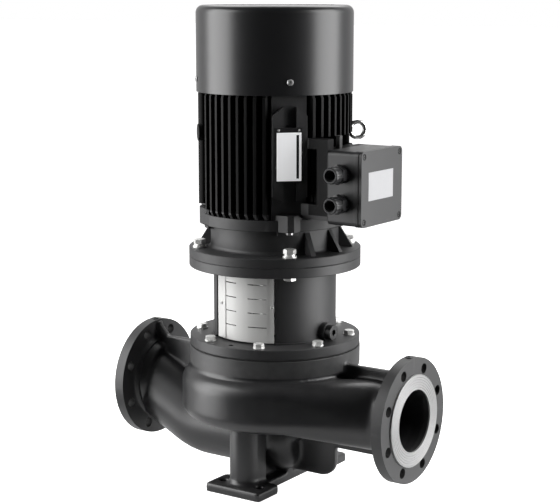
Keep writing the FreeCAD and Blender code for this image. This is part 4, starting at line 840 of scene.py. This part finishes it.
def eyebolt():
    """A forged ring on a collar, run together with soft blends."""
    ring_radius, wire_radius, rise, blend = 13.6 * MM, 4.4 * MM, 24 * MM, 0.6 * MM
    out = Vector((1, 1, 0)).normalized()
    bpy.ops.object.select_all(action="DESELECT")
    bpy.ops.mesh.primitive_torus_add(location=EYE, rotation=(math.radians(90), 0, math.radians(45)),
                                     major_radius=ring_radius, minor_radius=wire_radius, major_segments=64,
                                     minor_segments=24)
    ring = settled(bpy.context.view_layer.objects.active)
    seat = EYE - out * rise
    profile = ((0, -16), (5, -16), (5, 0), (13.5, 0), (13.5, 4.5), (10, 6), (6, 8), (5, 11), (0, 11))
    collar = [(radius * MM, height * MM) for radius, height in profile]
    piece = joined("lifting_eye", ring, spun("collar", collar, seat, out, 48))
    applied(piece, "REMESH", mode="VOXEL", voxel_size=blend)
    applied(piece, "SMOOTH", factor=0.5, iterations=6)
    done(smooth(piece, 60), FORGED, "zinc", "eyebolt")


eyebolt()


def fan_cover():
    """The deep drawn cover with its round shoulder, over the grille cut from the model."""
    edge, sheet, inner = 13 * MM, 2 * MM, 112 * MM

    def shoulder(radius, degrees):
        """The quarter round between wall and top, at one face of the sheet."""
        turns = [math.radians(turn) for turn in degrees]
        return [(COVER_RADIUS - edge + radius * math.cos(turn), COVER_TOP - edge + radius * math.sin(turn))
                for turn in turns]

    outline = [(COVER_RADIUS - sheet, COVER_BOTTOM), (COVER_RADIUS, COVER_BOTTOM)]
    outline += shoulder(edge, range(0, 91, 9))
    outline += [(inner, COVER_TOP), (inner, COVER_TOP - sheet)]
    outline += shoulder(edge - sheet, range(90, -1, -15))
    grille = copy_of("fan_cover", "fan_grille")
    shell = spun("fan_cover_shell", outline, SHAFT, Z, 192)
    for angle in DIAGONALS:
        out = towards(angle)
        start = Vector((0, 0, SCREW_LEVEL)) + out * (COVER_RADIUS - 12 * MM)
        minus(shell, cylinder(3 * MM, start, start + out * 20 * MM, 24))
    bevelled(shell, 0.4 * MM, 2, 50)
    done(smooth(shell, 40), COVER_PAINT, "cover_black", "fan_cover")
    ring = cylinder(inner + 0.2 * MM, (0, 0, COVER_TOP - 4 * MM), (0, 0, COVER_TOP + 4 * MM), 192)
    applied(grille, "BOOLEAN", operation="INTERSECT", object=ring, solver="EXACT")
    bpy.data.objects.remove(ring)
    bevelled(grille, 0.35 * MM, 2, 40)
    done(smooth(grille, 30), COVER_PAINT, "cover_black", "fan_cover")


fan_cover()


def small_screws():
    """Screws of the fan cover and the plug in the lifting boss opposite the eye."""
    radius, rise, sunk = 5.2 * MM, 3 * MM, 0.4 * MM
    heads = [screw("head", towards(angle, COVER_RADIUS - sunk, SCREW_LEVEL), towards(angle), radius, rise)
             for angle in DIAGONALS]
    done(joined("fan_cover_screws", *heads), STEEL, "zinc")
    out = towards(DIAGONALS[2])
    plug = screw("lifting_plug", out * (EYE.xy.length - 29 * MM) + Z * EYE.z, out, 8.5 * MM, 7 * MM)
    done(plug, FRAME_PAINT, "frame_black")


def rating_plate():
    """A bare plate in a dark holder, riveted to the rails of the frame's front pad; the plate glows faintly,
    as painted light.
    """

    def slab(back, front, right, left, low, high):
        """A plate on the pad, given in millimetres from the pad's face, its middle and the floor."""
        return turned_box((PAD_REACH + back * MM, right * MM, low * MM),
                          (PAD_REACH + front * MM, left * MM, high * MM), FRONT)

    holder = slab(-0.5, 1, -24.5, 20.5, 549, 640)
    plate = slab(0, 1.4, -22.5, 19, 552, 632)
    band = slab(0, 1.5, 10.5, 15, 556, 628)
    place, sideways = towards(FRONT, PAD_REACH + MM, 636 * MM), FRONT + math.pi / 2
    rivets = [screw("rivet", place + towards(sideways, across * MM), towards(FRONT), 1.8 * MM, 1.2 * MM)
              for across in (-19, 15)]
    done(named(smooth(bevelled(holder, 0.3 * MM)), "plate_holder"), PLATE_EDGE, "cover_black")
    done(named(smooth(bevelled(plate, 0.3 * MM)), "rating_plate"), PLATE, "cover_black")
    done(named(smooth(bevelled(band, 0.1 * MM)), "plate_band"), PLATE_EDGE, "cover_black")
    done(joined("plate_rivets", *rivets), ZINC, "zinc")


small_screws()
rating_plate()

# Terminal box.
softened("terminal_box_base", BOX_PAINT, "box_black", 0.8)
softened("terminal_box_cover", BOX_PAINT, "box_black", 1.0)


def box_details():
    """Cover screws with a near-black ring round each, painted shade of its well, and the bare label."""
    inset, inner, outer = 9 * MM, 3.5 * MM, 5.3 * MM
    corners = [(y, z) for y in (BOX_LOW.y + inset, BOX_HIGH.y - inset)
               for z in (BOX_LOW.z + inset, BOX_HIGH.z - inset)]
    heads = [screw("head", (BOX_FACE - 2 * MM, y, z), X, 3.4 * MM, 2 * MM) for y, z in corners]
    done(joined("box_cover_screws", *heads), BOX_PAINT, "box_black")
    # Painted shade: a near-black ring just proud of the cover round each screw.
    well = [(inner, 0), (outer, 0), (outer, PROUD), (inner, PROUD)]
    rings = [spun("ring", well, (BOX_FACE, y, z), X, 32) for y, z in corners]
    done(joined("box_screw_wells", *rings), SHADE_BLACK, "box_black")
    right, left, low, high = -53 * MM, 26.5 * MM, 523 * MM, 570 * MM
    label = box((BOX_FACE - 0.1 * MM, right, low), (BOX_FACE + 0.3 * MM, left, high))
    done(named(smooth(bevelled(label, 0.1 * MM)), "box_label"), LABEL, "box_black")


def gland_cap(level):
    """A fluted cap on a hexagon, with the rubber ring inside its mouth."""
    low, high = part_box("gland_nut_" + level)
    back, face = -high.y, -low.y
    flats, rise, bore = 29 * MM, 11 * MM, 12.2 * MM
    foot = hex_head("cap_foot", flats, rise, back, bore)
    form = [(9.3 * MM, back + MM), (14 * MM, back + MM), (14 * MM, face - 5 * MM),
            (13.2 * MM, face - 1.6 * MM), (11.8 * MM, face), (10.2 * MM, face), (9.6 * MM, face - 0.6 * MM)]
    cap = spun("cap", form, SHAFT, Z, 96)
    flutes, count, circle, groove = [], 20, 14.4 * MM, 0.9 * MM
    for number in range(count):
        place = towards(2 * math.pi * number / count, circle)
        flutes.append(cylinder(groove, place + Z * (back + rise + MM), place * 0.96 + Z * (face + MM), 10))
    minus(cap, joined("flutes", *flutes))
    inner, outer, deep = 7.5 * MM, 9.5 * MM, face - 16 * MM
    ring = spun("ring", [(inner, deep), (outer, deep), (outer, face - 3 * MM), (8.6 * MM, face - 2 * MM),
                         (inner, face - 4 * MM)], SHAFT, Z, 48)
    middle = (low + high) / 2
    place = Matrix.Translation((middle.x, 0, middle.z)) @ Matrix.Rotation(math.pi / 2, 4, "X")
    nut = joined("gland_cap_" + level, smooth(bevelled(cap, 0.25 * MM, 2, 35), 30), foot)
    ring = smooth(named(ring, "gland_ring_" + level), 30)
    for piece in (nut, ring):
        piece.data.transform(place)
    done(nut, BLACK_PLASTIC, "plastic_black", "gland_nut_" + level)
    done(ring, RUBBER, "rubber")


box_details()
for level in ("lower", "upper"):
    softened("gland_body_" + level, BLACK_PLASTIC, "plastic_black", 0.5)
    gland_cap(level)

# The pieces inside keep the model's own shapes.
PLAIN = {
    "casing_gasket": FIBRE, "seal_cover": CAST, "wear_ring": BRONZE, "impeller": CAST,
    "impeller_nut": STAINLESS, "impeller_key": STEEL, "pump_shaft": STAINLESS, "seal_seat": CERAMIC,
    "seal_rotary": CARBON, "seal_bellows": RUBBER, "motor_shaft": STEEL, "rotor_core": IRON,
    "stator_core": IRON, "winding_lower": COPPER, "winding_upper": COPPER, "cooling_fan": BLACK_PLASTIC,
    "terminal_box_gasket": RUBBER, "terminal_block": BLACK_PLASTIC, "coupling_half_front": STEEL,
    "coupling_half_rear": STEEL,
}
for name, material in PLAIN.items():
    frame["nodes"][name].data.materials.clear()
    frame["nodes"][name].data.materials.append(material)
for name, node in frame["nodes"].items():
    if name.startswith(("bearing_", "coupling_screw_")):
        node.data.materials.clear()
        node.data.materials.append(STEEL)


# Studio: a pale floor, a bounce card under the part, two tall soft lights and one above.

CAMERA_PLACE = (1.46318, -2.14574, 0.86259)
CAMERA_TARGET = Vector((0.01078, 0, 0.41131))
CAMERA_TURN = math.radians(34.09)
LENS, SENSOR = 96.68, 36
LIGHTS_AIM = Vector((0, 0, 0.45))


def stage_piece(name, material):
    """Names the last piece made and dresses it, without putting it on a body."""
    piece = named(bpy.context.view_layer.objects.active, name)
    piece.data.materials.append(material)
    return piece


def ground():
    """The floor, which glows for the camera alone, and the card that lights the part from below."""
    bpy.ops.object.select_all(action="DESELECT")
    bpy.ops.mesh.primitive_plane_add(size=60, location=(0, 0, 0))
    pale = finish("pale_floor", (0.82, 0.82, 0.82), (0.80, 0.80, 0.80), (0.7, 0.8),
                  fine=40, broad=4, depth=0.0, glow=0.9)
    floor = stage_piece("studio_floor", pale)
    floor.visible_glossy = False
    floor.visible_diffuse = False
    bpy.ops.mesh.primitive_circle_add(vertices=64, radius=0.42, fill_type="NGON", location=(0, 0, MM))
    white = finish("bounce_white", (0.8, 0.8, 0.8), (0.8, 0.8, 0.8), (0.8, 0.9), depth=0.0, glow=0.25)
    card = stage_piece("bounce_card", white)
    card.visible_camera = False
    card.visible_shadow = False


def placed(name, data, place, target):
    """A camera or a light at a place, looking at a target."""
    thing = bpy.data.objects.new(name, data)
    bpy.context.scene.collection.objects.link(thing)
    thing.location = place
    thing.rotation_euler = (target - thing.location).to_track_quat("-Z", "Y").to_euler()
    return thing


def camera_and_lights():
    """The camera, and area lights set by their turn from it, distance, size, height and power."""
    data = bpy.data.cameras.new("camera")
    data.sensor_width = SENSOR
    data.lens = LENS
    bpy.context.scene.camera = placed("camera", data, CAMERA_PLACE, CAMERA_TARGET)
    for name, turn, distance, wide, tall, level, power in (
            ("left_light", -86, 1.6, 1.3, 2.2, 0.75, 62), ("right_light", 80, 1.6, 1.25, 2.2, 0.75, 62),
            ("top_light", 175, 1.3, 1.6, 1.2, 2.1, 24)):
        angle = CAMERA_TURN + math.radians(turn)
        data = bpy.data.lights.new(name, "AREA")
        data.shape = "RECTANGLE"
        data.size = wide
        data.size_y = tall
        data.energy = power
        placed(name, data, (distance * math.sin(angle), -distance * math.cos(angle), level), LIGHTS_AIM)


def surroundings():
    """White for the camera, and for the part a room that is dark in front and light behind."""
    world = bpy.data.worlds.new("studio")
    bpy.context.scene.world = world
    world.use_nodes = True
    tree = world.node_tree
    room = tree.nodes["Background"]
    room.inputs["Color"].default_value = (1, 1, 1, 1)
    seen = add(tree, "ShaderNodeBackground", Color=(1, 1, 1, 1), Strength=1.0)
    path = add(tree, "ShaderNodeLightPath")
    choice = add(tree, "ShaderNodeMixShader")
    where = add(tree, "ShaderNodeTexCoord")
    facing = add(tree, "ShaderNodeVectorMath", operation="DOT_PRODUCT")
    facing.inputs[1].default_value = (math.sin(CAMERA_TURN), -math.cos(CAMERA_TURN), 0)
    ramp = add(tree, "ShaderNodeMapRange", interpolation_type="SMOOTHSTEP")
    for label, value in (("From Min", -0.9), ("From Max", 0.3), ("To Min", 0.75), ("To Max", 0.05)):
        ramp.inputs[label].default_value = value
    link(tree, where.outputs["Generated"], facing.inputs[0])
    link(tree, facing.outputs["Value"], ramp.inputs["Value"])
    link(tree, ramp.outputs["Result"], room.inputs["Strength"])
    link(tree, path.outputs["Is Camera Ray"], choice.inputs["Fac"])
    link(tree, room.outputs["Background"], choice.inputs[1])
    link(tree, seen.outputs["Background"], choice.inputs[2])
    link(tree, choice.outputs["Shader"], tree.nodes["World Output"].inputs["Surface"])


ground()
camera_and_lights()
surroundings()
bpy.context.scene.view_settings.view_transform = "Standard"
